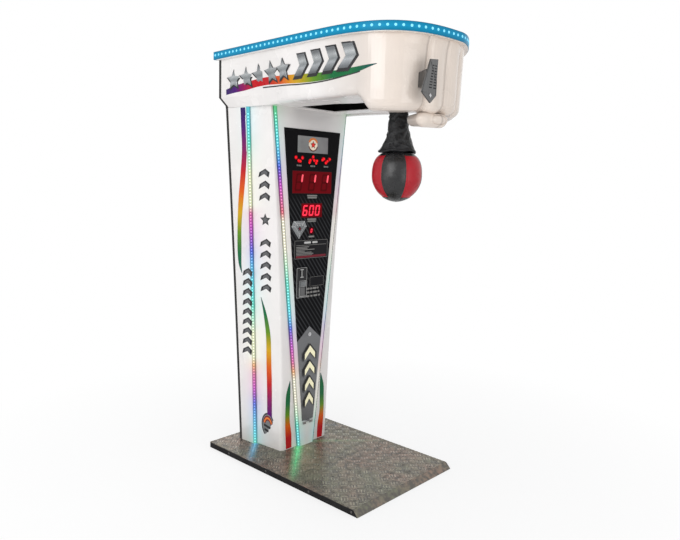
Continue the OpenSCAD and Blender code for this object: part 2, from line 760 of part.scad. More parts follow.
// Share of the inward slope at half height: upright at the rear, straight further forward
function slope(c) = 0.45 * ease(0, 250, shell_rear - 60 - c[1]);
function kink_z(c) = bottom_z(c) + round_r(c) + kink + kink_h - 8;
function side_points(c, d) = let (t = tuck(c), s = slope(c), zk = kink_z(c)) [
    shell_point(c, d, shell_top, 0.25), shell_point(c, d + s / 3 * t, shell_top - 0.16 * shell_h, 0.75),
    shell_point(c, d + s * t, shell_top - 0.45 * shell_h, 1), shell_point(c, d + (s + (0.92 - s) * s / 0.6) * t, zk, 1)];
function shell_outer(c) = let (t = tuck(c), r = round_r(c), zb = bottom_z(c)) concat(
    side_points(c, 0),
    [for (a = ARC) shell_point(c, t + r * (1 - cos(a)), zb + r * (1 - sin(a)), 1)],
    [shell_point(c, lip_in(c), zb, 0), shell_point(c, lip_in(c), under_z, 0)]);
function shell_inner(c) = let (t = tuck(c), r = round_r(c) - wall, zb = bottom_z(c) + wall) concat(
    side_points(c, wall),
    [for (a = ARC) shell_point(c, wall + t + r * (1 - cos(a)), zb + r * (1 - sin(a)), 1)],
    [shell_point(c, lip_in(c) - wall, zb, 0), shell_point(c, lip_in(c) - wall, under_z, 0)]);

// Everything behind the rear panel's front face
module behind_panel() {
    yz_plate(-2 * head_hw, 4 * head_hw) polygon([
        [col_rear - rear_t, deck_h], [col_rear - rear_t, col_top + kink],
        [shell_rear, col_top + kink + kink_h], [shell_rear, overall_h],
        [overall_d, overall_h], [overall_d, deck_h]]);
}

module head_shell() {
    color(white) difference() {
        loft([for (c = head_columns(0, shell_rear)) concat(shell_inner(c), reversed(shell_outer(c)))]);
        behind_panel();
    }
}

// The thumb, folded under the fingers
thumb_sink = 2;
module thumb_moulding() {
    z1 = col_top - fist_drop + thumb_sink;
    color(white) intersection() {
        hull() {
            for (p = [[-130, 78, 26, 36], [-40, 58, 26, 34], [-62, 184, 20, 30], [60, 152, 14, 24]])
                translate([p[0], nose_y + p[1], z1 - p[2]]) scale([1.25, 1, 1]) sphere(r = p[3], $fn = 30);
        }
        block([-300, nose_y - 40, z1 - 80], [200, nose_y + 200, z1]);
    }
}

ball_way = ball_r + 15;
slot_hw = 100;
way_y1 = arm_y + arm_l + ball_r + 1;
way_y0 = arm_y + arm_l - ball_r - 20;
slot_y0 = arm_y - 95;
module swing_opening() {
    polygon([[-ball_way, way_y1], [ball_way, way_y1], [ball_way, way_y0], [slot_hw, way_y0 - 110],
        [slot_hw, slot_y0 + slot_hw], [-slot_hw, slot_y0 + slot_hw], [-slot_hw, way_y0 - 110],
        [-ball_way, way_y0]]);
    translate([0, slot_y0 + slot_hw]) circle(r = slot_hw);
}

module head_underside() {
    color(white) difference() {
        translate([0, 0, under_z]) linear_extrude(cover_t) difference() {
            polygon([for (c = head_columns(0, shell_rear)) let (d = lip_in(c) - wall)
                [c[0] + d * c[2], c[1] + d * c[3]]]);
            swing_opening();
            both_sides_2d() translate([post_x - 2, post_y0 - 2]) square([post_w + 4, post_d + 4]);
        }
        behind_panel();
    }
}
module both_sides_2d() { children(); mirror([1, 0]) children(); }

module head_top() {
    color(white) translate([0, 0, shell_top]) linear_extrude(cover_t)
        polygon(outline_2d(band_out - 3, rear_face));
}

module light_band() {
    color("dodgerblue") translate([0, 0, band_z0]) linear_extrude(band_h)
        polygon(concat(outline_2d(band_out, rear_face + 25), reversed(outline_2d(-wall, rear_face + 25))));
}

// Black lining of the space that the ball swings up into
liner_x = ball_way + 9;
liner_t = 3;
liner_y1 = way_y1 + 20;
liner_z1 = shell_top - 22;
low_z1 = beam_z0 + beam_h - wall;
module cavity_liner() {
    z0 = under_z + cover_t;
    color(black) {
        difference() {
            both_sides() yz_plate(liner_x, liner_t) polygon([[slot_y0 - 20, z0], [liner_y1, z0],
                [liner_y1, liner_z1], [way_y0 - 30, liner_z1], [way_y0 - 30, low_z1], [slot_y0 - 20, low_z1]]);
            x_rod(-2 * liner_x, 2 * liner_x, arm_y, pivot_z, shaft_r + 4);
        }
        block([-liner_x, liner_y1 - liner_t, z0], [liner_x, liner_y1, liner_z1]);
        block([-liner_x, way_y0 - 30, liner_z1 - liner_t], [liner_x, liner_y1, liner_z1]);
        block([-liner_x, way_y0 - 30, low_z1], [liner_x, way_y0 - 30 + liner_t, liner_z1]);
    }
}

// A signet-like plate on a boss, in front of the first groove of the fist
crest_x = -finger_w * 1.72;
crest_z = overall_h - crest_drop;
crest_t = 6;
crest_y = -overall_d / 2;
module crest() {
    color(dark_steel) {
        translate([crest_x, crest_y + crest_t, crest_z]) xz_plate(0, crest_t)
            polygon([[-16, 98], [40, 104], [34, 12], [33, -52], [-7, -86], [-72, -44]]);
        hull() {
            translate([crest_x - 38, crest_y + crest_t, crest_z - 20]) cube([58, 1, 74]);
            translate([crest_x - 4, crest_y + 80, crest_z - 14]) cube([40, 1, 60]);
        }
    }
}

// Swinging arm

bearing_w = beam_w - 10;
module pivot_bearings() {
    color("royalblue") both_sides() difference() {
        yz_plate(beam_x + 5, bearing_w) union() {
            translate([arm_y, pivot_z]) circle(r = shaft_r + 13);
            translate([arm_y - shaft_r - 9, pivot_z]) square([2 * shaft_r + 18, beam_z0 - pivot_z]);
            translate([arm_y - 48, beam_z0 - 9]) square([96, 9]);
        }
        x_rod(beam_x, beam_x + beam_w, arm_y, pivot_z, shaft_r + run);
    }
}

collar_x = beam_x + 5 + bearing_w + gap;
disc_x = beam_x + beam_w + 14;
module pivot_shaft() {
    color("silver") {
        x_rod(-collar_x - 8, disc_x + 8, arm_y, pivot_z, shaft_r);
        for (x = [-collar_x - 6, collar_x]) x_rod(x, x + 6, arm_y, pivot_z, shaft_r + 6);
    }
}

hub_hw = 40;
lug_r = 66;
catch_r = 5;
ball_top = round(9.136 * ball_r) / 10;
flange_z = ball_z + ball_top;
module punch_arm() {
    color(dark_steel) {
        difference() {
            union() {
                x_rod(-hub_hw, hub_hw, arm_y, pivot_z, hub_r);
                translate([0, arm_y, flange_z + 8]) cylinder(r = tube_r, h = pivot_z - flange_z - 8);
            }
            x_rod(-hub_hw - 1, hub_hw + 1, arm_y, pivot_z, shaft_r);
        }
        translate([0, arm_y, flange_z]) cylinder(r = 40, h = 8);
        yz_plate(-5, 10) difference() {
            union() {
                translate([arm_y + lug_r, pivot_z]) circle(r = catch_r + 4);
                polygon([[arm_y, pivot_z - 20], [arm_y + lug_r, pivot_z - 9],
                    [arm_y + lug_r, pivot_z + 9], [arm_y, pivot_z + 20]]);
            }
            translate([arm_y, pivot_z]) circle(r = hub_r - 1);
        }
        x_rod(-18, 18, arm_y + lug_r, pivot_z, catch_r);
    }
}

// The stuffed ball is fuller above its middle than below; r is its radius at height z from the middle
full_top = 2.8;
full_foot = 1.9;
cap_t = 1.5;
function ball_out(z) = let (n = z > 0 ? full_top : full_foot)
    ball_r * pow(max(0, 1 - pow(abs(z) / ball_r, n)), 1 / n);
module ball() {
    // The lower cap is a patch sewn over the seams
    color("firebrick") translate([0, arm_y, ball_z]) rotate_extrude() polygon(concat(
        [[0, -ball_r - cap_t]],
        [for (a = [-84 : 6 : -60]) [ball_out(ball_r * sin(a)) + cap_t, ball_r * sin(a) - cap_t]],
        [for (a = [-60 : 6 : 60]) [ball_out(ball_r * sin(a)), ball_r * sin(a)]],
        [[ball_out(ball_top), ball_top], [0, ball_top]]));
}

// Leather sleeve round the arm, with creases that wind round it and a folded hem over the ball
sleeve_top = 115;
sleeve_l = arm_l - ball_r - sleeve_top;
sleeve_r = 45;
hem_r = 89;
sleeve_wall = 3.5;
crease = 1.6;
hem_fold = 4;
function sleeve_out(s, a) = sleeve_r + (hem_r - sleeve_r) * pow(s / sleeve_l, 2.9)
    + crease * sin(360 * s / 29 + 2 * a) + hem_fold * pow(s / sleeve_l, 3) * cos(5 * a);
function sleeve_drop(s, a) = s + 5 * pow(s / sleeve_l, 4) * cos(3 * a + 40);
function around(r, z, a) = [r * cos(a), r * sin(a), z];
module arm_sleeve() {
    steps = [for (i = [0 : 16]) sleeve_l * i / 16];
    z1 = pivot_z - sleeve_top;
    color(black) translate([0, arm_y, z1]) loft(round = true, rings = [for (a = [0 : 10 : 350]) concat(
        [around(tube_r + 0.1, 0, a), around(tube_r + 0.1, 5, a), around(sleeve_r - 4, 5, a)],
        [for (s = steps) around(sleeve_out(s, a), -sleeve_drop(s, a), a)],
        reversed([for (s = steps) around(sleeve_out(s, a) - sleeve_wall, -sleeve_drop(s, a), a)]))]);
}

module rest_bumper() {
    color(black) translate([0, arm_y + lug_r + 25, pivot_z + tube_r + gap])
        cylinder(r = 14, h = beam_z0 + beam_h - pivot_z - tube_r - gap);
}

disc_r = 45;
module sensor_disc() {
    color("silver") difference() {
        x_rod(disc_x, disc_x + 2, arm_y, pivot_z, disc_r);
        x_rod(disc_x - 1, disc_x + 3, arm_y, pivot_z, shaft_r);
        for (a = [0 : 20 : 340]) translate([disc_x - 1, arm_y, pivot_z]) rotate([a, 0, 0])
            translate([0, -1.5, disc_r - 9]) cube([4, 3, 6]);
    }
}

module sensor_fork() {
    x0 = beam_x + beam_w;
    color("darkgreen") difference() {
        block([x0, arm_y - 12, pivot_z + disc_r - 8], [disc_x + 16, arm_y + 12, pivot_z + disc_r + 18]);
        block([disc_x - 5, arm_y - 13, pivot_z + disc_r - 9], [disc_x + 7, arm_y + 13, pivot_z + disc_r + 5]);
    }
}

// Latch that holds the arm up

hook_x = 9;
hook_t = 6;
hook_y = arm_y - 86;
hook_z = pivot_z + lug_r + 9;
hook_open = 14;
tail_l = 35;
rod_x = hook_x + hook_t + 5;
rod_r = 4;
bracket_z = beam_z0 + beam_h;
bracket_t = 4;
bracket_front = 156;
bracket_back = 129;
bracket_over = 30;

module latch_bracket() {
    color(steel) {
        difference() {
            block([-beam_x - bracket_over, arm_y - bracket_front, bracket_z],
                [beam_x + bracket_over, arm_y + bracket_back, bracket_z + bracket_t]);
            block([hook_x - 9, hook_y + 15, bracket_z - 1],
                [hook_x + hook_t + 9, hook_y + 128, bracket_z + bracket_t + 1]);
            translate([rod_x, hook_y - tail_l, bracket_z - 1]) cylinder(r = rod_r + 1, h = bracket_t + 2);
        }
        for (x = [hook_x - 6, hook_x + hook_t + gap])
            block([x, hook_y - 12, hook_z - 12], [x + 5.5, hook_y + 12, bracket_z]);
        x_rod(hook_x - 1, hook_x + hook_t + 1, hook_y, hook_z, rod_r);
    }
}

module latch_hook() {
    reach = arm_y - hook_y + catch_r;
    color("silver") difference() {
        translate([0, hook_y, hook_z]) rotate([hook_open, 0, 0]) yz_plate(hook_x, hook_t) {
            circle(r = 11);
            polygon([[0, -2], [reach + 1, -2], [reach + 1, -13], [reach + 13, -13],
                [reach + 13, 8], [0, 8]]);
            polygon([[-tail_l - 6, -4], [0, -6], [0, 6], [-tail_l - 6, 4]]);
        }
        x_rod(hook_x - 1, hook_x + hook_t + 1, hook_y, hook_z, rod_r + run);
    }
}

foot_z = hook_z - tail_l * sin(hook_open) - 5.6;
module latch_plunger() {
    color("silver") {
        translate([rod_x, hook_y - tail_l, foot_z - 4]) cylinder(r = rod_r, h = bracket_z + 24 - foot_z);
        block([hook_x - 1, hook_y - tail_l - 5, foot_z - 4], [rod_x, hook_y - tail_l + 5, foot_z]);
    }
}

module latch_solenoid() {
    color("olive") difference() {
        block([rod_x - 22, hook_y - tail_l - 24, bracket_z + bracket_t],
            [rod_x + 22, hook_y - tail_l + 24, bracket_z + bracket_t + 42]);
        translate([rod_x, hook_y - tail_l, bracket_z]) cylinder(r = rod_r + run, h = 38);
    }
}

// Rear door and what is behind it

hinge_x = -rdoor_w / 2 - 4;
hinge_y = col_rear + 5;
hinge_zs = [rdoor_z + 90, rdoor_z + rdoor_h - 90];
knuckle_h = 20;
rlock_x = rdoor_w / 2 - 36;
rlock_z = rdoor_z + rdoor_h / 2;

module rear_door() {
    y0 = col_rear + 0.3;
    color(dark_steel) difference() {
        union() {
            block([-rdoor_w / 2, y0, rdoor_z], [rdoor_w / 2, y0 + rdoor_t, rdoor_z + rdoor_h]);
            for (z = hinge_zs) {
                translate([hinge_x, hinge_y, z - knuckle_h / 2 + gap / 2])
                    cylinder(r = knuckle_r, h = knuckle_h - gap);
                block([hinge_x, y0 + 1, z - knuckle_h / 2 + gap / 2],
                    [-rdoor_w / 2 + 25, y0 + rdoor_t + 2, z + knuckle_h / 2 - gap / 2]);
            }
        }
        for (z = hinge_zs) translate([hinge_x, hinge_y, z - knuckle_h])
            cylinder(r = pin_r + run, h = 2 * knuckle_h);
        y_rod(rlock_x, rlock_z, y0 - 1, y0 + rdoor_t + 1, lock_r + run);
        for (i = [0 : 5]) block([-60, y0 - 1, rdoor_z + rdoor_h - 150 + 18 * i],
            [60, y0 + rdoor_t + 1, rdoor_z + rdoor_h - 144 + 18 * i]);
    }
}

module rear_hinges() {
    color(steel) for (z = hinge_zs) {
        translate([hinge_x, hinge_y, z - 1.5 * knuckle_h]) cylinder(r = pin_r, h = 3 * knuckle_h);
        for (z0 = [z - 1.5 * knuckle_h, z + 0.5 * knuckle_h]) {
            translate([hinge_x, hinge_y, z0]) cylinder(r = knuckle_r, h = knuckle_h);
            block([hinge_x - 28, col_rear, z0], [hinge_x, col_rear + 2, z0 + knuckle_h]);
        }
    }
}

module rear_lock() {
    color("silver") translate([rlock_x, col_rear + 0.3 + rdoor_t, rlock_z])
        lock_plug(rdoor_t + rear_t + 6, rdoor_t + rear_t + 3);
}

cbox_over = 30;
cbox_d = 55;
cbox_h = 260;
cbox_rise = 300;
module control_box() {
    color("lightgray") block([-post_x - cbox_over, post_y0 + post_d, rdoor_z + cbox_rise],
        [post_x + cbox_over, post_y0 + post_d + cbox_d, rdoor_z + cbox_rise + cbox_h]);
}

inlet_x = 60;
inlet_z = 130;
rocker_z = inlet_z + 18;
rocker_w = 22;
rocker_axis_y = col_rear - 3;
rocker_tilt = 8;
module power_inlet() {
    color(black) difference() {
        union() {
            block([inlet_x - 22, col_rear - 32, inlet_z - 38], [inlet_x + 22, col_rear, inlet_z + 38]);
            block([inlet_x - 28, col_rear, inlet_z - 44], [inlet_x + 28, col_rear + 2, inlet_z + 44]);
        }
        difference() {
            block([inlet_x - 14, col_rear - 18, inlet_z - 28], [inlet_x + 14, col_rear + 3, inlet_z - 8]);
            for (x = [-7, 0, 7]) block([inlet_x + x - 1, col_rear - 20, inlet_z - 21],
                [inlet_x + x + 1, col_rear - 3, inlet_z - 15]);
        }
        block([inlet_x - rocker_w / 2 - gap, col_rear - 14, rocker_z - 15.5],
            [inlet_x + rocker_w / 2 + gap, col_rear + 3, rocker_z + 15.5]);
        x_rod(inlet_x - 16, inlet_x + 16, rocker_axis_y, rocker_z, pin_r + run);
    }
}

module rocker_switch() {
    color("red") {
        x_rod(inlet_x - 15, inlet_x + 15, rocker_axis_y, rocker_z, pin_r);
        translate([0, rocker_axis_y, rocker_z]) rotate([-rocker_tilt, 0, 0])
            yz_plate(inlet_x - rocker_w / 2, rocker_w)
            polygon([[-6, -6], [-6, 6], [6, 13], [3.5, 0], [6, -13]]);
    }
}

tread_plate();
ramp_plate();
side_rails();
cross_rails();
anchor_bolts();
column_posts();
head_beams();
cross_beams();
column_side_left();
column_side_right();
raised_front();
rear_panel();
side_light_left();
side_light_right();
front_light_left();
front_light_right();
display_panel();
upper_window();
score_lamps();
score_display();
record_display();
credit_display();
diamond_badge();
rules_plate();
coin_plate();
coin_unit();
reject_button();
return_cup();
return_flap();
spare_plate();
cash_door();
cash_hinge();
cash_lock();
cash_shelf();
cash_box();
head_shell();
thumb_moulding();
head_underside();
head_top();
light_band();
cavity_liner();
crest();
pivot_bearings();
pivot_shaft();
punch_arm();
ball();
arm_sleeve();
rest_bumper();
sensor_disc();
sensor_fork();
latch_bracket();
latch_hook();
latch_solenoid();
latch_plunger();
rear_door();
rear_hinges();
rear_lock();
control_box();
power_inlet();
rocker_switch();
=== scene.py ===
"""Looks of a boxing arcade machine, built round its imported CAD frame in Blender 4.5."""
import json
import math
from functools import cached_property

import bmesh
import bpy
from bpy.props import FloatProperty, FloatVectorProperty, IntProperty, PointerProperty
from bpy.types import Operator, Panel, PropertyGroup
from mathutils import Matrix, Vector, noise
from mathutils.bvhtree import BVHTree

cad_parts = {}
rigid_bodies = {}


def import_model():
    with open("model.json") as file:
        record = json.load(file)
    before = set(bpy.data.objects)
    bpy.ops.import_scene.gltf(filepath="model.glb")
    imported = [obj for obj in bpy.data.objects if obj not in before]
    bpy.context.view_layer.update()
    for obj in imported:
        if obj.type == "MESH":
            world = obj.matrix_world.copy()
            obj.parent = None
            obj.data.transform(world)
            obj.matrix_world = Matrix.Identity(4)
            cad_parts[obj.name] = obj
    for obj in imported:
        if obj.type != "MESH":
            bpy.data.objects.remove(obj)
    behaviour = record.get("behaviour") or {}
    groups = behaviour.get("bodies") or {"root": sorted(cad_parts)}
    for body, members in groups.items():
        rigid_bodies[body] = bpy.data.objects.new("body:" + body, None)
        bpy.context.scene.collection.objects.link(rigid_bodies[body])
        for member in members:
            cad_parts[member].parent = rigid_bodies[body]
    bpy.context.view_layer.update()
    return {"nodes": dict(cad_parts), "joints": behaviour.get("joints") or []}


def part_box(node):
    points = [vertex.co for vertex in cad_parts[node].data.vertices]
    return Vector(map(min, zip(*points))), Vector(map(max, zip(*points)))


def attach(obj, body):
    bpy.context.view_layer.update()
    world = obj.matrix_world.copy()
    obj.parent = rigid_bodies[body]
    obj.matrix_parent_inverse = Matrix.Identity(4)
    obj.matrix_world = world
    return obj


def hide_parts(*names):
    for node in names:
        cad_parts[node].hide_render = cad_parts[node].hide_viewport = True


bl_info = {
    "name": "Boxing machine looks",
    "version": (1, 0, 0),
    "blender": (4, 5, 0),
    "location": "View3D > Sidebar > Boxing machine",
    "description": "Materials, lights, graphics, ball and fittings of a boxing arcade machine",
    "category": "Object",
}

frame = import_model()


def low(node):
    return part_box(node)[0]


def high(node):
    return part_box(node)[1]


def middle(node):
    return (low(node) + high(node)) / 2


ARM_AXIS = Vector(next(j for j in frame["joints"] if j["name"] == "arm_swing")["pos_m"])
BALL_MID = Vector((0, ARM_AXIS.y, 1.602))
FINGER_W = 0.127
PANEL_Y = low("display_panel").y
MODULE_Y = low("score_display").y
DECK_Z = high("tread_plate").z
SLEEVE_TOP = high("arm_sleeve").z
UP = Vector((0, 0, 1))
TO_PLAYER = Vector((0, -1, 0))
SINK = 0.0001   # how deep a print's back sits in the face it lies on
SUNK = Matrix.Translation((0, 0, -0.0004))   # the same for glyphs on the moulded skins


# Sizes and colours that a user would change


def colour_field(name, about, default):
    return FloatVectorProperty(name=name, description=about, subtype="COLOR", default=default, min=0, max=1)


def length_field(name, about, default, least, most):
    return FloatProperty(name=name, description=about, subtype="DISTANCE", unit="LENGTH",
                         default=default, min=least, max=most)


class CabinetColours(PropertyGroup):
    white: colour_field("Moulded white", "Gel coat of the column and the fist", (0.83, 0.80, 0.785))
    black: colour_field("Black parts", "Rails, rear panel and steel trim", (0.018, 0.018, 0.02))
    tread: colour_field("Tread plate", "Worn painted plate of the platform", (0.19, 0.175, 0.155))
    band: colour_field("Light band", "Band round the top of the fist", (0.007, 0.182, 0.325))
    lamp: colour_field("Red lamps", "Lit digits and lamps", (1.0, 0.015, 0.02))


class LightRowSizes(PropertyGroup):
    pitch: length_field("Strip pitch", "Distance between lamps along a column strip", 0.0167, 0.008, 0.05)
    dot: length_field("Strip lamp radius", "Radius of one lamp of a column strip", 0.0036, 0.001, 0.01)
    band_pitch: length_field("Band pitch", "Distance between lamps along the head's band", 0.0345, 0.02, 0.1)
    band_dot: length_field("Band lamp radius", "Radius of one lamp of the head's band", 0.0064, 0.002, 0.015)


class TreadSizes(PropertyGroup):
    cell: length_field("Cell", "Side of one square of parallel bars", 0.044, 0.02, 0.08)
    bars: IntProperty(name="Bars", description="Raised bars in each square", default=3, min=1, max=6)
    rise: length_field("Bar height", "How far a bar stands up from the plate", 0.0016, 0.0005, 0.004)


class BallSizes(PropertyGroup):
    radius: length_field("Ball radius", "Radius of the stuffed ball at its widest", 0.125, 0.1, 0.14)
    seam: length_field("Seam depth", "Depth of the sewn groove between two panels", 0.0022, 0.0005, 0.005)
    panels: IntProperty(name="Panels", description="Leather panels round the ball", default=6, min=4, max=12)


class StageSizes(PropertyGroup):
    floor: length_field("Floor", "Side of the plain pale floor", 60.0, 10, 200)
    key: FloatProperty(name="Main lamp", description="Power of the largest studio lamp", unit="POWER",
                       default=54.0, min=1, max=1000)


GROUPS = (("bm_colours", CabinetColours), ("bm_rows", LightRowSizes), ("bm_tread", TreadSizes),
          ("bm_ball", BallSizes), ("bm_stage", StageSizes))


# Modelling


def clear():
    bpy.ops.object.select_all(action="DESELECT")


def only(*pieces):
    clear()
    for piece in pieces:
        piece.select_set(True)
    bpy.context.view_layer.objects.active = pieces[0]


def named(name):
    piece = bpy.context.object
    piece.name = piece.data.name = name
    return piece


def applied(piece):
    only(piece)
    bpy.ops.object.transform_apply(location=True, rotation=True, scale=True)
    return piece


def select_all():
    bpy.ops.mesh.select_all(action="SELECT")


def edit(piece, kind="FACE"):
    """Enters edit mode with everything selected."""
    only(piece)
    bpy.ops.object.mode_set(mode="EDIT")
    bpy.ops.mesh.select_mode(type=kind)
    select_all()


def leave():
    bpy.ops.object.mode_set(mode="OBJECT")


def close(piece):
    """Turns every face outwards and leaves edit mode."""
    select_all()
    bpy.ops.mesh.normals_make_consistent(inside=False)
    leave()
    return piece


def push(value):
    bpy.ops.mesh.extrude_region_move(TRANSFORM_OT_translate={"value": value})


def step_up(rise, scale):
    """Raises the selected face by one ring and narrows it."""
    push((0, 0, rise))
    bpy.ops.transform.resize(value=(scale, scale, 1.0))


def pick(kind, test):
    """Selects the verts, edges or faces of the piece being edited that pass the test."""
    mesh = bpy.context.edit_object.data
    shape = bmesh.from_edit_mesh(mesh)
    bpy.ops.mesh.select_all(action="DESELECT")
    for part in getattr(shape, kind):
        if test(part):
            part.select_set(True)
    shape.select_flush(True)
    bmesh.update_edit_mesh(mesh)


def modify(piece, kind, **settings):
    """Adds a modifier as by hand, sets it and applies it."""
    only(piece)
    bpy.ops.object.modifier_add(type=kind)
    modifier = piece.modifiers[-1]
    for key, value in settings.items():
        setattr(modifier, key, value)
    bpy.ops.object.modifier_apply(modifier=modifier.name)


def settle(piece, material=None, body="machine", smooth=35):
    """Puts a finished piece's origin at the frame's, and says what it is made of and rides on."""
    applied(piece)
    bpy.ops.object.shade_smooth_by_angle(angle=math.radians(smooth))
    if material:
        piece.data.materials.clear()
        piece.data.materials.append(FINISHES[material])
    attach(piece, body)


def joined(name, pieces):
    only(*pieces)
    if len(pieces) > 1:
        bpy.ops.object.join()
    return named(name)


def spread(piece, places, name):
    """Copies a shape, each with its own mesh, to every place and joins the copies."""
    applied(piece)
    copies = []
    for place in places:
        copy = piece.copy()
        copy.data = piece.data.copy()
        copy.data.transform(place)
        bpy.context.collection.objects.link(copy)
        copies.append(copy)
    bpy.data.objects.remove(piece)
    return joined(name, copies)


def line_through(name, points):
    """A vertex drawn along points, still in edit mode."""
    clear()
    bpy.ops.mesh.primitive_plane_add(size=0.001, location=points[0])
    piece = applied(named(name))
    edit(piece, "VERT")
    bpy.ops.mesh.merge(type="CENTER")
    for start, end in zip(points, points[1:]):
        bpy.ops.mesh.extrude_vertices_move(TRANSFORM_OT_translate={"value": end - start})
    select_all()
    return piece


def drawn(name, outline, rise):
    """An outline drawn, filled and its face raised."""
    piece = line_through(name, outline)
    bpy.ops.mesh.edge_face_add()
    bpy.ops.mesh.select_mode(type="FACE")
    select_all()
    push(rise)
    return close(piece)


def flat_shape(name, points, thick, place=Matrix(), bevel=0.0):
    """A plate from a list of (x, y), moved from the XY plane to its place."""
    piece = drawn(name, [Vector((x, y, 0)) for x, y in points], Vector((0, 0, thick)))
    if bevel:
        modify(piece, "BEVEL", width=bevel, segments=1, limit_method="ANGLE",
               angle_limit=math.radians(40))
    piece.data.transform(place)
    return piece


def disc(name, sides, radius, location=(0, 0, 0)):
    """A filled circle, in edit mode."""
    clear()
    bpy.ops.mesh.primitive_circle_add(vertices=sides, radius=radius, fill_type="NGON", location=location)
    piece = named(name)
    edit(piece)
    return piece


def star(size, inner=0.46, points=5):
    radii = (size, size * inner)
    return [(radii[i % 2] * math.sin(math.pi * i / points), radii[i % 2] * math.cos(math.pi * i / points))
            for i in range(2 * points)]


def chevron(width, height, thick, slant=0.0):
    """Points to +X; slant leans it like italic letters."""
    x, y = width / 2, height / 2
    raw = [(-x, y), (-x + thick, y), (x, 0), (-x + thick, -y), (-x, -y), (x - thick, 0)]
    return [(u + slant * v, v) for u, v in raw]


def rounded(width, height, radius, steps=4):
    points = []
    for cx, cy, start in ((1, 1, 0), (-1, 1, 90), (-1, -1, 180), (1, -1, 270)):
        for i in range(steps + 1):
            a = math.radians(start + 90 * i / steps)
            points.append((cx * (width / 2 - radius) + radius * math.cos(a),
                           cy * (height / 2 - radius) + radius * math.sin(a)))
    return points


def arc(inner, outer, start, end, steps=20):
    """The outline of part of a ring, angles in degrees."""
    turns = [math.radians(start + (end - start) * i / steps) for i in range(steps + 1)]
    return ([(outer * math.cos(a), outer * math.sin(a)) for a in turns]
            + [(inner * math.cos(a), inner * math.sin(a)) for a in reversed(turns)])


def circle(radius, steps):
    return arc(0.0, radius, 0, 360, steps)[:steps]


def scaled(outline, x, y, dx=0.0, dy=0.0):
    return [(u * x + dx, v * y + dy) for u, v in outline]


def facing(place, normal, up=UP):
    """The matrix that lays a flat shape on a surface: its +Z along the normal, its +Y up."""
    across = up.cross(normal).normalized()
    level = normal.cross(across).normalized()
    return Matrix.Translation(place) @ Matrix((across, level, normal)).transposed().to_4x4()


def on_panel(x, z, y=PANEL_Y, sink=SINK):
    return facing(Vector((x, y + sink, z)), TO_PLAYER)


SKINS = {}


def hit(node, start, direction):
    if node not in SKINS:
        SKINS[node] = BVHTree.FromObject(frame["nodes"][node], bpy.context.evaluated_depsgraph_get())
    return SKINS[node].ray_cast(Vector(start), Vector(direction))


def touch(node, start, direction):
    """Where a ray meets a CAD node's surface, and the surface's normal there."""
    place, normal, _, _ = hit(node, start, direction)
    if place is None:
        raise RuntimeError(f"nothing of {node} lies at {start}")
    return place, normal if normal.dot(Vector(direction)) < 0 else -normal


def lying(node, start, direction):
    return facing(*touch(node, start, direction))


def both_sides(piece, name, material):
    """Settles a piece of the left flank, and its copy beyond the machine's middle plane."""
    settle(piece, material)
    only(piece)
    bpy.ops.object.duplicate()
    other = named(name + "_right")
    bpy.ops.transform.mirror(constraint_axis=(True, False, False), orient_type="GLOBAL",
                             center_override=(0, 0, 0))
    edit(applied(other))
    settle(close(other), material)


def stroke(name, lows, highs, node, reach):
    """A thin film between two lines, laid on a node; reach is how it is pressed on."""
    clear()
    rows = len(lows) - 1
    bpy.ops.mesh.primitive_grid_add(x_subdivisions=rows, y_subdivisions=6, size=1, location=(0, 0, 0))
    film = named(name)
    reach = Vector(reach)
    lift = reach.normalized() * 0.0003
    for vertex in film.data.vertices:
        row = round((vertex.co.x + 0.5) * rows)
        spot = lows[row].lerp(highs[row], vertex.co.y + 0.5)
        vertex.co = touch(node, spot - reach, reach)[0] - lift
    modify(film, "SOLIDIFY", thickness=0.0004, offset=0.0)
    edit(film)
    return close(film)


def eased(points, count):
    """More points along a smooth line through a few."""
    out = []
    last = len(points) - 1
    for i in range(count + 1):
        t = i / count * last
        k = min(int(t), last - 1)
        f = t - k
        a, b, c, d = (Vector(points[min(max(k + n, 0), last)]) for n in (-1, 0, 1, 2))
        out.append(0.5 * (2 * b + (c - a) * f + (2 * a - 5 * b + 4 * c - d) * f * f
                          + (3 * b - a - 3 * c + d) * f ** 3))
    return out


# Shader nodes


